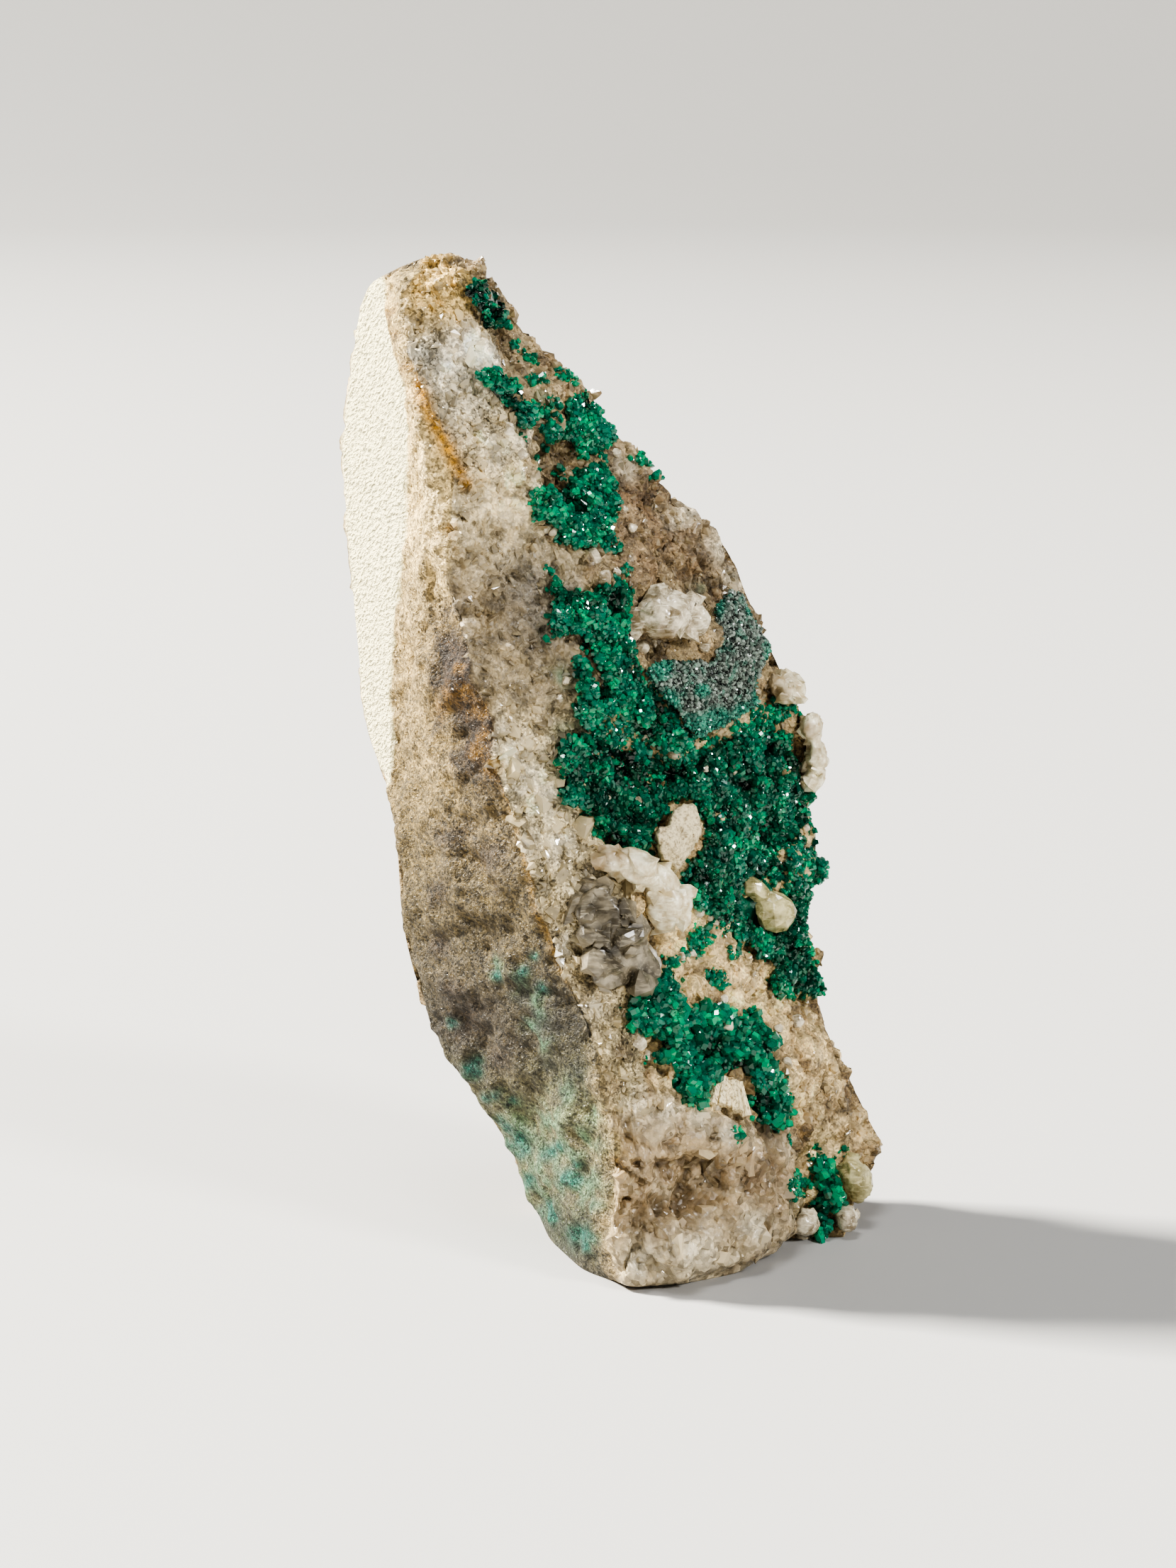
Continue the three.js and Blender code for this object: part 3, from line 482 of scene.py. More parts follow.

# Its tones and painted shade, from the first laid to the last: how strongly, where, and in which colour.
TONES = [
    (back, 150, 128, 92),
    (side + pale, by_height(SIDE_TONES_AND_SHADE)),
    (0.35 * ramp(uneven(stone_at, 12 * MM, 5), -0.2, 0.5), 88, 76, 54),
    (0.5 * side * pale_seam, 206, 178, 120),
    (0.5 * side * ochre_seam, 140, 106, 36),
    (side * dark_seam, 48, 35, 19),
    (0.75 * side * smeared(DARK_MARKS), 52, 40, 30),
    (0.5 * side * smeared(STAIN_MARKS) * ramp(lumps, -0.5, 0.4), 84, 138, 106),
    (0.6 * side * smeared(SMOKE_MARKS), 34, 46, 38),
    (0.95 * side * smeared(TEAL_MARKS, 5), 0, 88, 74),
    (band, by_height(BAND_TONES)),
    (0.22 * band * ramp(uneven(stone_at * (1, 1, 0.5), 1.8 * MM, 6), 0, 0.5), 118, 100, 74),
    (0.6 * band * spots(across + 4 * lumps, down, GREY_MARKS), 98, 97, 94),
    (0.95 * band * smeared(GLASSY_MARKS), 252, 240, 214),
    (front, by_height(FRONT_TONES)),
    (0.6 * front * ramp(uneven(stone_at, 2.4 * MM, 7), -0.1, 0.5), 118, 94, 64),
    (0.45 * front * smeared(PINK_MARKS), 140, 112, 86),
    (0.6 * front * fibre_patches * fibre_zone, 120, 92, 56),
    (0.6 * past_ridge * smeared(DUST_MARKS) * ramp(lumps, -0.6, 0.5), 50, 116, 98),
    (foot, by_height(FOOT_TONES)),
    (0.4 * foot * ramp(uneven(stone_at, 3 * MM, 9), 0, 0.5), 212, 198, 168),
    (0.4 * foot * ramp(uneven(stone_at, 2.4 * MM, 10), 0, 0.5), 120, 96, 66),
    (0.4 * rough * lit_edge, 180, 154, 108),
    (0.7 * past_ridge * smeared(BROWN_MARKS), 84, 60, 36),
    # The foot's pits are painted darker: their own browner stone, and painted shade in them.
    (0.35 * foot * smeared(PIT_MARKS), 96, 74, 50),
    (0.7 * past_ridge * smeared(WHITE_MARKS), 232, 222, 196),
    (0.8 * band * smeared(LEDGE_MARKS), 240, 222, 182),
    # Painted shade: the rock's hollows are painted darker, most on the front and least on the side and the
    # band.
    ((0.6 - 0.5 * side - 0.5 * band - 0.25 * foot) * rough * ramp(-height, 0.15, 0.8), 66, 50, 32),
    (0.8 * rough * smeared(OCHRE_MARKS), 116, 84, 22),
    (0.95 * rough * spots(across + 3 * blur, down, RUST_MARKS), 166, 118, 14),
]
colour = np.zeros((len(stone_at), 3))
for strength, *tone in TONES:
    colour = laid_over(colour, strength, tone[0] if len(tone) == 1 else shade(*tone))
grain_light = 0.8 * (medium_chance[:, 0] - 0.5) * (past_ridge + back - foot) + 0.4 * (fine_chance[:, 0] - 0.5)
colour *= (1 + grain_light)[:, None]
colour = laid_over(colour, pale, shade(240, 230, 184))
keep_value(rock.data, "stone_colour", np.clip(colour, 0, 1))
keep_value(rock.data, "pale", pale)
keep_value(rock.data, "crystalline", np.clip(band + foot + 0.7 * front, 0, 1))
clear_marks = smeared(GLASSY_MARKS + WHITE_MARKS)
glassiness = foot + band * np.maximum(0.6 * clear_marks, 0.9 - 0.9 * granular) + 0.4 * front
keep_value(rock.data, "glassy", np.clip(glassiness, 0, 1))
rock.data.shade_smooth()


def wired(tree, kind, inputs, **settings):
    """The outputs of a new node of a tree, which has these settings and inputs."""
    made = tree.nodes.new(kind)
    for name, value in settings.items():
        setattr(made, name, value)
    set_inputs(made, inputs)
    return made.outputs


def scaled_by(vector, factor):
    """A vector or colour of a tree, times a number."""
    inputs = {0: vector, "Scale": factor}
    return wired(vector.id_data, "ShaderNodeVectorMath", inputs, operation="SCALE")[0]


def stretched(value, start, end, low, high):
    """A value of a tree, its range from start to end stretched to run from low to high."""
    ends = {"Value": value, "From Min": start, "From Max": end, "To Min": low, "To Max": high}
    return wired(value.id_data, "ShaderNodeMapRange", ends)[0]


def two_tones(value, start, end, first, second):
    """A colour that runs from one tone to another as a value runs from start to end."""
    share = {"Factor": stretched(value, start, end, 0, 1), 6: first, 7: second}
    return wired(value.id_data, "ShaderNodeMix", share, data_type="RGBA")[2]


def clouds(place, size, detail, roughness=0.5):
    """A soft uneven value of a tree, from 0 to 1, with swells of about a size."""
    inputs = {"Vector": place, "Scale": 1 / size, "Detail": detail, "Roughness": roughness}
    return wired(place.id_data, "ShaderNodeTexNoise", inputs)["Fac"]


def value_of(tree, name, output="Fac"):
    """A value that the piece keeps under a name."""
    return wired(tree, "ShaderNodeAttribute", {}, attribute_name=name)[output]


def bumped(height, distance, strength, under=None):
    """The surface's facing with a height worked into it."""
    inputs = {"Height": height, "Distance": distance, "Strength": strength}
    if under:
        inputs["Normal"] = under
    return wired(height.id_data, "ShaderNodeBump", inputs)[0]


def tilted_faces(place, size):
    """The height of tiny flat faces, each tilted its own way, that part a surface into grains of a size, and
    each grain's own number from 0 to 1."""
    tree = place.id_data
    cells = wired(tree, "ShaderNodeTexVoronoi", {"Vector": place, "Scale": 1 / size})
    ends = {0: scaled_by(place, 1 / size), 1: scaled_by(cells["Position"], 1 / size)}
    offset = wired(tree, "ShaderNodeVectorMath", ends, operation="SUBTRACT")[0]
    halves = {0: cells["Color"], 1: (0.5, 0.5, 0.5)}
    tilt = wired(tree, "ShaderNodeVectorMath", halves, operation="SUBTRACT")[0]
    height = wired(tree, "ShaderNodeVectorMath", {0: offset, 1: tilt}, operation="DOT_PRODUCT")["Value"]
    chance = wired(tree, "ShaderNodeSeparateColor", {"Color": cells["Color"]})[0]
    return height, chance


def finish_of(name):
    """A new material, with its shader's tree, its shader, and the places on the piece."""
    material = bpy.data.materials.new(name)
    material.use_nodes = True
    tree = material.node_tree
    shader = tree.nodes["Principled BSDF"]
    place = tree.nodes.new("ShaderNodeTexCoord").outputs["Object"]
    return material, tree, shader, place


def dress(piece, material):
    """Gives a piece its material and its slot, and lets it ride on the specimen."""
    piece.data.materials.clear()
    piece.data.materials.append(material)
    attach(piece, "root")


STREAK_TURN = math.radians(-19.6)
stone, tree, shader, place = finish_of("vein_rock")
is_pale = value_of(tree, "pale")
crystalline = value_of(tree, "crystalline")
glassy = value_of(tree, "glassy")
grit = stretched(glassy, 0, 1, 1, 0.25)
sand_height, sand_chance = tilted_faces(place, 0.2 * MM)
face_height, face_chance = tilted_faces(place, 0.5 * MM)
dust = clouds(place, 0.6 * MM, 4, 0.7)
# Each sand grain has its own tone, and the brightest grains are painted glints.
sand_tone_and_glints = stretched(glassy, 0, 1, stretched(sand_chance, 0, 1, 0.4, 1.75), 1)
stone_colour = value_of(tree, "stone_colour", "Color")
toned = scaled_by(stone_colour, sand_tone_and_glints)
toned = scaled_by(toned, stretched(face_chance, 0, 1, 0.7, 1.3))
toned = scaled_by(toned, stretched(dust, 0.3, 0.7, 0.75, 1.2))
along_streaks = {"Vector": place, "Rotation": (STREAK_TURN, 0, 0), "Scale": (1, 4, 1)}
drawn_out = wired(tree, "ShaderNodeMapping", along_streaks, vector_type="TEXTURE")[0]
streaks = clouds(drawn_out, 0.32 * MM, 2)
flecked = scaled_by(stone_colour, stretched(streaks, 0.34, 0.5, 0.62, 1))
tones = wired(tree, "ShaderNodeMix", {"Factor": is_pale, 6: toned, 7: flecked}, data_type="RGBA")
dull = stretched(sand_chance, 0.7, 1, 0.65, 0.1)
sand_bump = bumped(sand_height, 0.1 * MM, grit)
dust_bump = bumped(dust, 0.6 * MM, grit, sand_bump)
face_bump = bumped(face_height, 0.6 * MM, crystalline, dust_bump)
streak_bump = bumped(streaks, 1.2 * MM, is_pale, bumped(dust, 0.3 * MM, 0.7))
bump = wired(tree, "ShaderNodeMix", {"Factor": is_pale, 4: face_bump, 5: streak_bump}, data_type="VECTOR")
set_inputs(shader, {"Base Color": tones[2], "Roughness": stretched(glassy, 0, 1, dull, 0.15)})
set_inputs(shader, {"Transmission Weight": stretched(glassy, 0, 1, 0, 0.2), "Normal": bump[1]})
dress(rock, stone)
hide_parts("rock")


# Dioptase crusts
# Each crust is a skin of emerald green dioptase that grew on the rock: small six-sided prisms, each with a
# tip of three faces, crowded at all angles over a base of the same mineral. Specks of it stand all round.
ROOT_DEPTH = 0.2


def six_sided_crystal(name, waist, slope):
    """A prism that stands on its origin, as wide from its middle as its waist, with its peak at height 1. The
    slope is how far down the three faces of its tip reach."""
    shape = bmesh.new()
    peak = shape.verts.new((0, 0, 1))
    corners = [(math.cos(turn * math.pi / 3), math.sin(turn * math.pi / 3)) for turn in range(6)]
    shoulder = [
        shape.verts.new((x * waist, y * waist, 1 - slope * (0.5 if turn % 2 == 0 else 1)))
        for turn, (x, y) in enumerate(corners)
    ]
    root = [shape.verts.new((x * waist, y * waist, -ROOT_DEPTH)) for x, y in corners]
    for turn in range(6):
        after = (turn + 1) % 6
        shape.faces.new((root[turn], root[after], shoulder[after], shoulder[turn]))
    for turn in (0, 2, 4):
        shape.faces.new((peak, shoulder[turn], shoulder[turn + 1], shoulder[(turn + 2) % 6]))
    return shape_object(name, shape)


def shape_object(name, shape):
    """A new object, outside the scene, with the mesh that was being made."""
    mesh = bpy.data.meshes.new(name)
    shape.to_mesh(mesh)
    shape.free()
    return bpy.data.objects.new(name, mesh)


def evened(piece, size):
    """The piece, its surface made again of even faces of a size, so that it takes fine relief."""
    return reworked(piece, "REMESH", mode="VOXEL", voxel_size=size, use_smooth_shade=True)


def strewing_tree():
    """Strews small shapes over a surface, more where its value called cover is high. Most are small, and each
    leans from the way that the surface faces. The surface under them is kept if asked."""
    tree = bpy.data.node_groups.new("strewing", "GeometryNodeTree")
    sockets = {"Surface": "Geometry", "Shape": "Object", "Finish": "Material", "Seed": "Int"}
    sockets |= dict.fromkeys(["Count per m2", "Smallest", "Largest", "Sink", "Lean"], "Float")
    sockets["Keep surface"] = "Bool"
    for name, kind in sockets.items():
        tree.interface.new_socket(name, in_out="INPUT", socket_type="NodeSocket" + kind)
    tree.interface.new_socket("Result", in_out="OUTPUT", socket_type="NodeSocketGeometry")
    given = tree.nodes.new("NodeGroupInput").outputs

    def math_of(operation, first, second):
        return wired(tree, "ShaderNodeMath", {0: first, 1: second}, operation=operation)[0]

    def random_of(kind, inputs):
        made = wired(tree, "FunctionNodeRandomValue", inputs, data_type=kind)
        return made[0 if kind == "FLOAT_VECTOR" else 1]

    cover = wired(tree, "GeometryNodeInputNamedAttribute", {"Name": "cover"}, data_type="FLOAT")
    density = math_of("MULTIPLY", cover["Attribute"], given["Count per m2"])
    spread = {"Mesh": given["Surface"], "Density": density, "Seed": given["Seed"]}
    seats = wired(tree, "GeometryNodeDistributePointsOnFaces", spread)
    inwards = scaled_by(seats["Normal"], math_of("MULTIPLY", given["Sink"], -1))
    sunk = wired(tree, "GeometryNodeSetPosition", {"Geometry": seats["Points"], "Offset": inwards})
    lean = given["Lean"]
    lean_back = math_of("MULTIPLY", lean, -1)
    least_turn = wired(tree, "ShaderNodeCombineXYZ", {"X": lean_back, "Y": lean_back})[0]
    most_turn = wired(tree, "ShaderNodeCombineXYZ", {"X": lean, "Y": lean, "Z": 2 * math.pi})
    turns = random_of("FLOAT_VECTOR", {0: least_turn, 1: most_turn[0], "Seed": given["Seed"]})
    leaned = wired(tree, "FunctionNodeEulerToRotation", {"Euler": turns})[0]
    ways = {"Rotation": seats["Rotation"], "Rotate By": leaned}
    turned = wired(tree, "FunctionNodeRotateRotation", ways, rotation_space="LOCAL")
    chance = math_of("POWER", random_of("FLOAT", {"Seed": math_of("ADD", given["Seed"], 100)}), 2)
    size = stretched(chance, 0, 1, given["Smallest"], given["Largest"])
    build = random_of("FLOAT_VECTOR", {0: (0.75, 0.75, 0.75), 1: (1.25, 1.25, 1.35), "Seed": 5})
    shape = wired(tree, "GeometryNodeObjectInfo", {"Object": given["Shape"]})["Geometry"]
    scale = scaled_by(build, size)
    seated = {"Points": sunk[0], "Instance": shape, "Rotation": turned[0], "Scale": scale}
    strewn = wired(tree, "GeometryNodeInstanceOnPoints", seated)
    tint = {"Geometry": strewn[0], "Name": "tint", "Value": random_of("FLOAT", {"Seed": 7})}
    marked = wired(tree, "GeometryNodeStoreNamedAttribute", tint, data_type="FLOAT", domain="INSTANCE")
    kept = wired(tree, "GeometryNodeSwitch", {"Switch": given["Keep surface"], "True": given["Surface"]})
    both = tree.nodes.new("GeometryNodeJoinGeometry")
    tree.links.new(marked[0], both.inputs[0])
    tree.links.new(kept[0], both.inputs[0])
    real = wired(tree, "GeometryNodeRealizeInstances", {"Geometry": both.outputs[0]})
    finished = wired(tree, "GeometryNodeSetMaterial", {"Geometry": real[0], "Material": given["Finish"]})
    tree.links.new(finished[0], tree.nodes.new("NodeGroupOutput").inputs[0])
    return tree


STREWING = strewing_tree()


def strewn_over(piece, values):
    """The piece with small shapes strewn over it, in a plain mesh. The values are the tree's inputs."""
    strewing = piece.modifiers.new("strewing", "NODES")
    strewing.node_group = STREWING
    for socket in STREWING.interface.items_tree:
        if socket.name in values:
            strewing[socket.identifier] = values[socket.name]
    made_plain(piece)
    move_to(piece.data, places_of(piece.data))
    return piece


def strewn_on_rock(name, cover, values):
    """A new piece of small shapes alone, strewn over the dressed rock as its cover says."""
    piece = added(name, rock.data.copy())
    keep_value(piece.data, "cover", cover)
    return strewn_over(piece, {"Keep surface": False} | values)


def faces_of(piece):
    """A piece's faces, as rays and points are tried against them."""
    mesh = piece.data
    return bvhtree.BVHTree.FromPolygons(
        [vertex.co.copy() for vertex in mesh.vertices], [tuple(polygon.vertices) for polygon in mesh.polygons]
    )


bare_rock = faces_of(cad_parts["rock"])


def out_of_rock(points):
    """How far out of the rock's solid each point is, in millimetres."""
    heights = np.zeros(len(points))
    for index, point in enumerate(points):
        spot, facing_out, _, away = bare_rock.find_nearest(Vector(point))
        heights[index] = away if (Vector(point) - spot).dot(facing_out) > 0 else -away
    return heights / MM


CRUSTS = "top upper_left upper_right upper_middle strand left_strand main lower foot".split()
SPECK_MARKS = [
    (729, 487, 6), (744, 508, 8), (750, 540, 10), (790, 538, 11), (770, 577, 13), (783, 610, 13),
    (905, 652, 12), (922, 665, 12), (857, 767, 13), (880, 803, 6), (983, 1324, 17), (1013, 1380, 13),
    (1035, 1604, 7), (1111, 1609, 5), (1120, 1672, 16), (1133, 1668, 8), (706, 537, 8), (714, 546, 6),
    (700, 523, 5), (760, 655, 6), (818, 643, 7), (790, 668, 7), (776, 700, 7), (770, 802, 6),
    (1136, 1228, 12), (985, 1345, 7), (1030, 1345, 8), (940, 1356, 8), (962, 1349, 6), (1060, 1425, 7),
    (1093, 1470, 7), (1090, 1505, 7), (1150, 1622, 6), (1186, 1622, 5), (870, 935, 6), (846, 980, 7),
    (812, 930, 7), (775, 905, 6), (842, 1019, 16), (875, 1033, 16), (910, 1050, 16), (945, 1063, 16),
    (980, 1070, 16), (1010, 1056, 18), (1040, 1036, 20), (1075, 1016, 20), (1100, 1005, 14), (1126, 994, 12),
    (893, 955, 12), (906, 990, 12), (930, 1015, 12), (1066, 845, 9), (925, 975, 14), (945, 1000, 14),
    (960, 1025, 14), (975, 1045, 12),
]
HOLLOW_MARKS = [
    (932, 1000, 14), (908, 1038, 13), (952, 1066, 18), (992, 1086, 15), (940, 1094, 18), (880, 1080, 30),
    (925, 1104, 26), (856, 1062, 18), (1087, 1057, 16), (1080, 1177, 18), (1110, 1202, 18), (1016, 1150, 16),
    (1060, 1250, 14), (835, 900, 12), (985, 1460, 12), (1100, 1310, 12), (1020, 1210, 14), (1050, 1110, 14),
    (1085, 1120, 12), (800, 850, 10), (862, 870, 10), (1040, 1470, 10), (960, 1400, 10), (1095, 1560, 8),
    (1170, 1670, 8), (1052, 1556, 20), (1030, 1530, 22), (1040, 1580, 16),
]
OVAL = (1082, 1276, 44)
BARE_END, RAGGED_END = 500, 610
CRUST_FACE = 0.4 * MM
TUFT = 2.1 * MM
PRISM_SIZES = {"Smallest": 0.17 * MM, "Largest": 0.65 * MM}
prism = six_sided_crystal("prism", 0.5, 0.5)

dioptase, tree, shader, place = finish_of("dioptase")
glow = clouds(place, 1.8 * MM, 2)
greens = two_tones(value_of(tree, "tint"), 0.3, 1, shade(0, 98, 66), shade(12, 200, 138))
greens = two_tones(glow, 0.35, 0.65, greens, shade(0, 124, 98))
# Painted shade and light: the crust is painted darker where it lies deep and lighter on its tufts.
greens = scaled_by(greens, stretched(value_of(tree, "depth_for_painted_shade"), 0, 1, 1.45, 0.15))
set_inputs(shader, {"Base Color": greens, "Roughness": 0.07, "IOR": 1.66, "Transmission Weight": 0.5})

carriers = [faces_of(rock)]
for order, part in enumerate(CRUSTS):
    node = "dioptase_crust_" + part
    crust = evened(merged_copy(node, node + "_crystals"), CRUST_FACE)
    points = places_of(crust.data)
    crust_across, crust_down = seen_at(points)
    # What stands clear of the rock has tufts and hollows, in millimetres, and crystals.
    outer = ramp(out_of_rock(points), 0.45, 0.75)
    hollow = spots(crust_across, crust_down, HOLLOW_MARKS)
    from_tuft, _, tuft_chance = grains(points, TUFT, 20)
    bumps = 0.6 * uneven(points, 4 * MM, 19) + 1.5 * (0.35 - from_tuft**2) + 0.7 * (tuft_chance[:, 0] - 0.5)
    # The crust lies back round the oval calcite and is ragged at the top of the specimen.
    oval_away = np.hypot(crust_across - OVAL[0], crust_down - OVAL[1]) / OVAL[2]
    ragged = ramp(uneven(points, 1.3 * MM, 22) + 0.25 * ramp(BARE_END - crust_down, 0, 40), -0.1, 0.3)
    ragged *= ramp(RAGGED_END - crust_down, 0, 50)
    bumps -= 0.3 + 0.9 * hollow + 1.3 * ragged
    sunk = np.outer(1.8 * MM * ramp(-oval_away, -1.05, -0.8), SIGHT)
    move_to(crust.data, points + sunk + facings_of(crust.data) * (bumps * outer * MM)[:, None])
    keep_value(crust.data, "cover", outer * (1 - ragged) * ramp(oval_away, 0.75, 0.9))
    # How deep each place lies, which the shader turns into painted shade and painted light.
    keep_value(crust.data, "depth_for_painted_shade", ramp(-bumps, -0.7 if part == "main" else -0.2, 1.1))
    carriers.append(faces_of(crust))
    crystals = {"Shape": prism, "Count per m2": 1.45e7, "Lean": 1.2} | PRISM_SIZES
    if part in ("lower", "foot"):
        crystals |= {"Count per m2": 8e6, "Smallest": 0.3 * MM, "Largest": 1.0 * MM}
    strewn_over(crust, crystals | {"Seed": 40 + order, "Keep surface": True, "Finish": dioptase})
    dress(crust, dioptase)
    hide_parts(node)

# Single crystals and small tufts stand on the rock round the crusts.
TUFTS_TOP = 560
TUFT_REACH = 1.0 * MM
near_crust = np.zeros(len(stone_at))
for index in np.flatnonzero(past_ridge > 0.5):
    reaches = [crust.find_nearest(Vector(stone_at[index]), TUFT_REACH)[3] for crust in carriers[1:]]
    nearest = min((reach for reach in reaches if reach is not None), default=TUFT_REACH)
    near_crust[index] = 1 - nearest / TUFT_REACH
tufts = ramp(uneven(stone_at, 1.3 * MM, 25) + 0.9 * near_crust, 0.45, 0.75)
tufts *= ramp(near_crust, 0, 0.2) * seen_below(TUFTS_TOP, 160)
singles = ramp(spots(across, down, SPECK_MARKS), 0.15, 0.4) * ramp(facing, -0.3, 0)
crystals = {"Shape": prism, "Count per m2": 1.3e7, "Lean": 1.0, "Seed": 55, "Finish": dioptase} | PRISM_SIZES
specks = strewn_on_rock("dioptase_specks", np.maximum(singles, tufts), crystals)
dress(specks, dioptase)


# Grains on the rock
# Small cleaved and rounded grains of calcite and dolomite stand out of the front, the band and the foot of
# the rock. They grew there crowded together, and each took the tone of the stone round it.
GRAIN_CORNERS = 11


def angular_grain(name, seed, thickness):
    """A broken grain of about radius 1 about its origin, with flat faces and sharp edges."""
    chance = np.random.default_rng(seed)
    shape = bmesh.new()
    for way in chance.normal(size=(GRAIN_CORNERS, 3)):
        reach = chance.uniform(0.8, 1) / np.linalg.norm(way)
        shape.verts.new(way * reach * (1, 1, thickness))
    bmesh.ops.convex_hull(shape, input=shape.verts)
    return shape_object(name, shape)


def rounded_grain(name, seed):
    """A worn, many-faced grain of radius 1 about its origin."""
    chance = np.random.default_rng(seed)
    shape = bmesh.new()
    bmesh.ops.create_icosphere(shape, subdivisions=1, radius=1)
    for vertex in shape.verts:
        vertex.co *= chance.uniform(0.75, 1.1)
    return shape_object(name, shape)


grain_stone, tree, shader, place = finish_of("calcite_grains")
grain_light = stretched(value_of(tree, "tint"), 0, 1, 0.6, 1.3)
toned = scaled_by(value_of(tree, "stone_colour", "Color"), grain_light)
cloud = clouds(place, 0.7 * MM, 3)
whitened = two_tones(cloud, 0.45, 1, toned, shade(236, 218, 176))
set_inputs(shader, {"Base Color": whitened, "Roughness": 0.14, "IOR": 1.6, "Transmission Weight": 0.35})
set_inputs(shader, {"Normal": bumped(cloud, 0.1 * MM, 0.4)})

FACED_TOP, FACED_END = 400, 900
BLOCKY_TOP, BLOCKY_END = 1000, 1500
patchy = ramp(uneven(stone_at, 3.5 * MM, 30), -0.25, 0.2)
clumps = ramp(uneven(stone_at, 2.6 * MM, 31), -0.3, 0.3)
faced = (0.7 * band + 0.5 * front * seen_above(FACED_END, 60)) * seen_below(FACED_TOP, 40)
blocky = 0.35 * foot + band * seen_below(BLOCKY_TOP, 60) * seen_above(BLOCKY_END, 200)
ANY_WAY = 3.1

# Each kind has its name, its shape, how many stand on a square metre, how small and how large they are and
# how deep they sit, in millimetres, its seed, and where it lies.
GRAINS = [
    (
        "cleaved_grains", angular_grain("cleaved_grain", 3, 0.8), 3e6, 0.12, 0.6, 0.15, 60,
        (band * clumps * granular + 0.7 * front * patchy + 0.06 * foot) * ramp(above_floor, 0.6, 1.5),
    ),
    (
        "cleaved_faces", angular_grain("cleaved_face", 4, 0.5), 2.2e6, 0.2, 1.0, 0.25, 63,
        np.maximum((1 - 0.7 * foot) * clear_marks, faced) * past_ridge * ramp(above_floor, 1.2, 2),
    ),
    (
        "rounded_grains", rounded_grain("rounded_grain", 5), 1.5e6, 0.15, 0.65, 0.25, 61,
        (0.3 * band * clumps * granular + front * (1 - 0.7 * patchy)) * ramp(above_floor, 0.9, 1.8),
    ),
    (
        "band_crystals", angular_grain("band_crystal", 8, 0.85), 8e5, 0.45, 1.4, 0.45, 62,
        blocky * ramp(above_floor, 1.6, 2.4),
    ),
]
for name, shape, count, smallest, largest, sink, seed, cover in GRAINS:
    kind = {"Shape": shape, "Count per m2": count, "Smallest": smallest * MM, "Largest": largest * MM}
    kind |= {"Sink": sink * MM, "Lean": ANY_WAY, "Seed": seed, "Finish": grain_stone}
    dress(strewn_on_rock(name, cover, kind), grain_stone)


# Calcite crystals
# The larger calcites are clusters and single crystals, clear to cloudy, that broke along flat cleavage faces.
# They have veils and cracks inside, and the cream ones are clouded right through.
BROWNED_MARKS = [
    (850, 1212, 26), (872, 1205, 20), (1095, 975, 26), (1080, 990, 20), (900, 900, 20), (940, 905, 24),
    (1140, 1030, 12),
]
CALCITE_FACE = 0.25 * MM


def dressed(node, face_size, face_height, seed, roundness=4):
    """A solid's copy, smoothed over as often as its roundness says, then cut by small faces at all angles, as
    crystals are."""
    piece = evened(merged_copy(node, node + "_look", sharp=False), CALCITE_FACE)
    reworked(piece, "SMOOTH", iterations=roundness)
    points = places_of(piece.data)
    _, cut, _ = grains(points, face_size, seed)
    lift = face_height * cut + 0.4 * face_height * uneven(points, 1.5 * face_size, seed)
    lift *= ramp(points[:, 2] / MM, 0.3, 1.2)
    move_to(piece.data, points + facings_of(piece.data) * lift[:, None])
    keep_value(piece.data, "cover", ramp(out_of_rock(points), -0.2, 0.3) * ramp(points[:, 2] / MM, 0.8, 1.6))
    keep_value(piece.data, "browned", spots(*seen_at(points), BROWNED_MARKS))
    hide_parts(node)
    return piece


def calcite_finish(name, dark, light, veil, roughness, cloudiest, clearest, crack_start=0.56):
    """A cloudy crystal's material: its darkest and lightest tones, the size of its veils in millimetres, how
    rough it is, and how see-through it is in its veils and between them. Fine cracks catch the light in it,
    and the higher they start, the fewer they are."""
    material, tree, shader, place = finish_of(name)
    veils = clouds(place, veil * MM, 4, 0.6)
    along_cracks = {"Vector": place, "Rotation": (0.3, 0.9, 0.4), "Scale": (0.12, 1, 1)}
    cracks = clouds(wired(tree, "ShaderNodeMapping", along_cracks)[0], 0.22 * MM, 1)
    veiled = two_tones(veils, 0.35, 0.65, shade(*dark), shade(*light))
    cracked = two_tones(cracks, crack_start, crack_start + 0.08, veiled, shade(*light))
    browned = two_tones(value_of(tree, "browned"), 0, 1.4, cracked, shade(132, 102, 62))
    see_through = stretched(veils, 0.4, 0.62, clearest, cloudiest)
    faces, _ = tilted_faces(place, 0.8 * MM)
    set_inputs(shader, {"Base Color": browned, "Transmission Weight": see_through, "Roughness": roughness})
    set_inputs(shader, {"IOR": 1.6, "Normal": bumped(faces, 0.25 * MM, 0.9)})
    return material


CLEAR_CALCITE = calcite_finish("clear_calcite", (150, 134, 106), (232, 222, 198), 1.3, 0.18, 0.05, 0.25)
SMOKY_CALCITE = calcite_finish("smoky_calcite", (102, 93, 76), (180, 169, 146), 2.2, 0.3, 0.3, 0.6)
YELLOW_CALCITE = calcite_finish("yellow_calcite", (156, 146, 100), (212, 202, 156), 1.4, 0.2, 0.1, 0.3)
CREAM_CALCITE = calcite_finish("cream_calcite", (212, 192, 150), (252, 246, 220), 0.9, 0.35, 0.1, 0.3, 0.64)

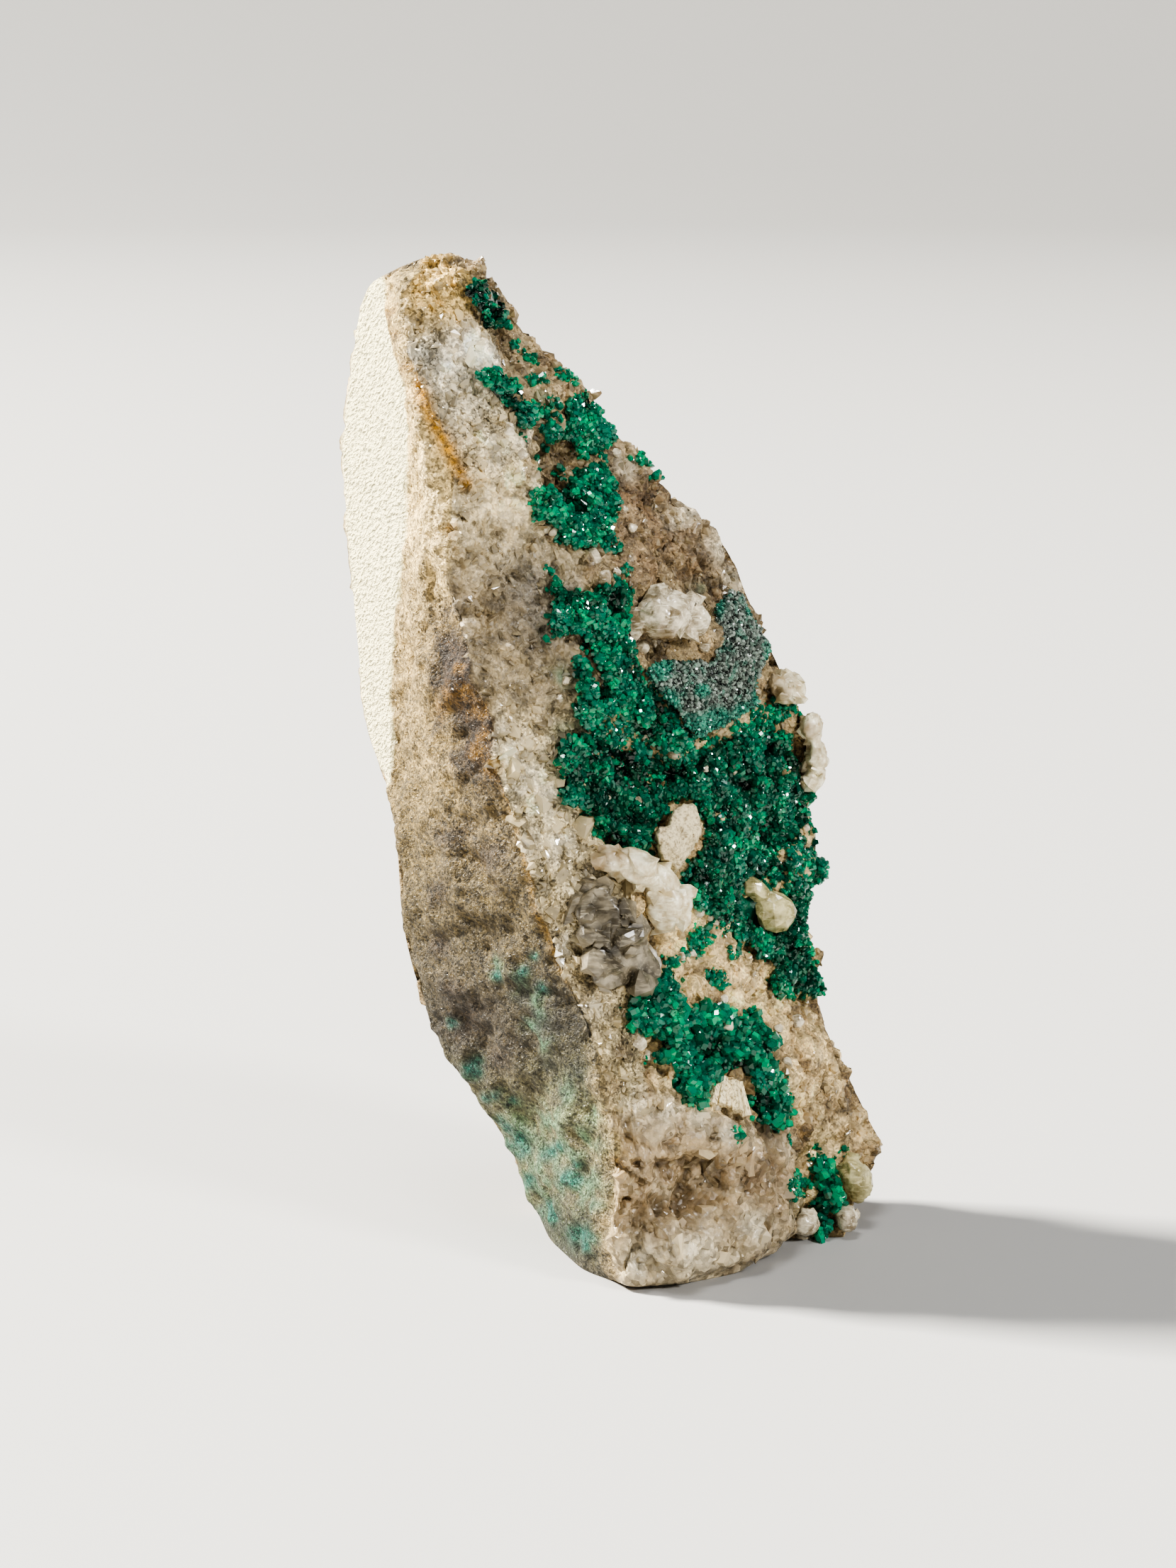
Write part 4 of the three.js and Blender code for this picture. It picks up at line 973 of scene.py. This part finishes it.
# Each has its finish, and in millimetres its faces' width, their height and its largest block's size.
CALCITES = {
    "calcite_boulder": (CLEAR_CALCITE, 2.6, 0.6, 2.0),
    "calcite_window": (SMOKY_CALCITE, 3.4, 0.7, 2.4),
    "calcite_cap": (CREAM_CALCITE, 3.2, 0.5, 2.2),
    "calcite_knobs": (CREAM_CALCITE, 1.6, 0.4, 1.4),
    "calcite_edge_knobs": (CREAM_CALCITE, 2.2, 0.5, 1.8),
    "calcite_foot_grain": (CLEAR_CALCITE, 1.2, 0.2, 1.0),
    "calcite_corner_grain": (CLEAR_CALCITE, 1.2, 0.2, 1.0),
    "cream_grain": (YELLOW_CALCITE, 1.8, 0.4, 0),
}
cleaved_block = angular_grain("cleaved_block", 6, 0.75)
for order, (node, (finish, face_size, face_height, largest)) in enumerate(CALCITES.items()):
    calcite = dressed(node, face_size * MM, face_height * MM, 70 + 2 * order)
    if largest:
        blocks = {"Shape": cleaved_block, "Count per m2": 1.4e6 / largest**2, "Smallest": 0.4 * largest * MM}
        blocks |= {"Largest": largest * MM, "Sink": 0.4 * largest * MM, "Lean": ANY_WAY, "Seed": 70 + order}
        strewn_over(calcite, blocks | {"Keep surface": True, "Finish": finish})
    dress(calcite, finish)
oval = merged_copy("calcite_oval", "calcite_oval_look")
keep_value(oval.data, "browned", np.zeros(len(oval.data.vertices)))
dress(oval, YELLOW_CALCITE)
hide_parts("calcite_oval")


LUMP_FACES = 11
BEAD_SINK = 0.2


def add_lump(shape, centre, radius, chance):
    """Adds to a shape a lump with a few large worn faces, like a crystal that water has eaten."""
    lump = bmesh.ops.create_icosphere(shape, subdivisions=2, radius=1)["verts"]
    ways = chance.normal(size=(LUMP_FACES, 3))
    ways /= np.linalg.norm(ways, axis=1)[:, None]
    reaches = chance.uniform(0.6, 0.9, LUMP_FACES)
    for vertex in lump:
        for way, reach in zip(ways, reaches):
            vertex.co -= Vector(way) * 0.85 * max(0, vertex.co.dot(Vector(way)) - reach)
        vertex.co = centre + radius * vertex.co


# Single grains of clear calcite, like beads, along the edges of the green crusts.
BEAD_MARKS = [
    (838, 786, 15), (852, 815, 13), (868, 806, 9), (905, 914, 12), (922, 908, 9), (994, 912, 10),
    (1002, 1294, 9), (985, 1285, 11), (976, 1345, 9), (899, 1468, 16), (1028, 1446, 11), (1008, 1300, 8),
    (960, 1350, 8), (1019, 1410, 9), (912, 1490, 9), (1136, 1168, 8), (1098, 1450, 9), (1160, 1720, 8),
    (1138, 1718, 14), (1186, 1725, 13), (1132, 1745, 12), (930, 1000, 12), (908, 1038, 10), (952, 1062, 12),
    (992, 1086, 11), (1035, 1090, 6), (845, 620, 7), (870, 640, 9), (780, 750, 8), (768, 745, 9),
    (892, 745, 9), (880, 720, 8), (735, 640, 10), (718, 610, 9), (800, 960, 9), (790, 985, 8), (855, 1130, 9),
    (900, 1130, 8), (1010, 1560, 10), (1110, 1500, 10), (1124, 1440, 12),
]
clusters = bmesh.new()
chance = np.random.default_rng(12)
for mark_across, mark_down, radius in BEAD_MARKS:
    rise = (PHOTO_HIGH / 2 - mark_down) / PIXELS_PER_SLOPE
    ray = SIGHT + VIEW_RIGHT * (mark_across - PHOTO_WIDE / 2) / PIXELS_PER_SLOPE + VIEW_UP * rise
    hits = [hit for hit in (carrier.ray_cast(EYE, ray) for carrier in carriers) if hit[0]]
    seat = min(hits, key=lambda hit: hit[3])[0]
    add_lump(clusters, seat + BEAD_SINK * radius * PIXEL * ray, radius * PIXEL, chance)
beads = shape_object("calcite_beads", clusters)
move_to(beads.data, places_of(beads.data))
scene.collection.objects.link(beads)
dress(beads, CLEAR_CALCITE)


# Pale blade
# A thin blade of chalky stone, crumbled along its edges. Its foot is in the main crust, which grew round it.
chalk, tree, shader, place = finish_of("chalky_stone")
crumbs = clouds(place, 0.35 * MM, 5, 0.75)
chalk_tones = two_tones(crumbs, 0.32, 0.55, shade(122, 102, 72), shade(230, 216, 180))
chalk_bump = bumped(crumbs, 0.25 * MM, 0.8)
set_inputs(shader, {"Base Color": chalk_tones, "Roughness": 0.75, "Normal": chalk_bump})
dress(dressed("pale_blade", 1.1 * MM, 0.3 * MM, 90, roundness=1), chalk)


# Fibre bundle
# A bundle of fine pale fibres, side by side like split wood, that grew on the rock below the lower crust.
fibrous, tree, shader, place = finish_of("pale_fibres")
drawn_out = wired(tree, "ShaderNodeMapping", {"Vector": place, "Scale": (1, 1, 0.08)})[0]
strands = clouds(drawn_out, 0.2 * MM, 3, 0.6)
fibre_tones = two_tones(strands, 0.32, 0.55, shade(150, 126, 84), shade(252, 236, 196))
fibre_bump = bumped(strands, 0.3 * MM, 0.9)
set_inputs(shader, {"Base Color": fibre_tones, "Roughness": 0.4, "Normal": fibre_bump})
bundle = divided(merged_copy("fibre_bundle", "fibre_bundle_look"), 3)
dress(bundle, fibrous)
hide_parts("fibre_bundle")


# Grey druse
# A skin of tiny dark quartz crystals that glitter, grown on the rock beside the main crust, with a fringe of
# blue-green dioptase along its lower edge.
DRUSE_TEAL_MARKS = [
    (930, 940, 26), (905, 950, 24), (940, 990, 24), (975, 1030, 30), (1010, 1020, 30), (1050, 1010, 26),
    (1075, 985, 22), (1090, 925, 18), (1062, 860, 16), (1000, 850, 30), (990, 975, 14), (995, 900, 24),
]
druse_quartz, tree, shader, place = finish_of("grey_druse")
tint = value_of(tree, "tint")
greys = two_tones(tint, 0, 1, shade(8, 14, 12), shade(146, 158, 148))
teals = two_tones(tint, 0, 1, shade(10, 66, 56), shade(76, 152, 128))
druse_tones = two_tones(value_of(tree, "teal"), 0, 1, greys, teals)
set_inputs(shader, {"Base Color": druse_tones, "Roughness": 0.2, "IOR": 1.55})
druse = evened(merged_copy("grey_druse", "grey_druse_crystals", sharp=False), CRUST_FACE)
points = places_of(druse.data)
outer = ramp(out_of_rock(points), 0.35, 0.6)
bumps = 0.3 * uneven(points, 2.5 * MM, 95)
move_to(druse.data, points + facings_of(druse.data) * (bumps * outer * MM)[:, None])
keep_value(druse.data, "cover", outer)
druse_across, druse_down = seen_at(points)
dusting = ramp(uneven(points, 0.8 * MM, 97), 0.1, 0.5)
fringe = ramp(spots(druse_across + 10 * bumps, druse_down, DRUSE_TEAL_MARKS), 0.25, 0.6)
keep_value(druse.data, "teal", np.maximum(fringe, 0.6 * dusting))
quartz = {"Shape": prism, "Count per m2": 4e7, "Smallest": 0.1 * MM, "Largest": 0.4 * MM, "Lean": 1.0}
strewn_over(druse, quartz | {"Seed": 96, "Keep surface": True, "Finish": druse_quartz})
dress(druse, druse_quartz)
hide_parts("grey_druse")
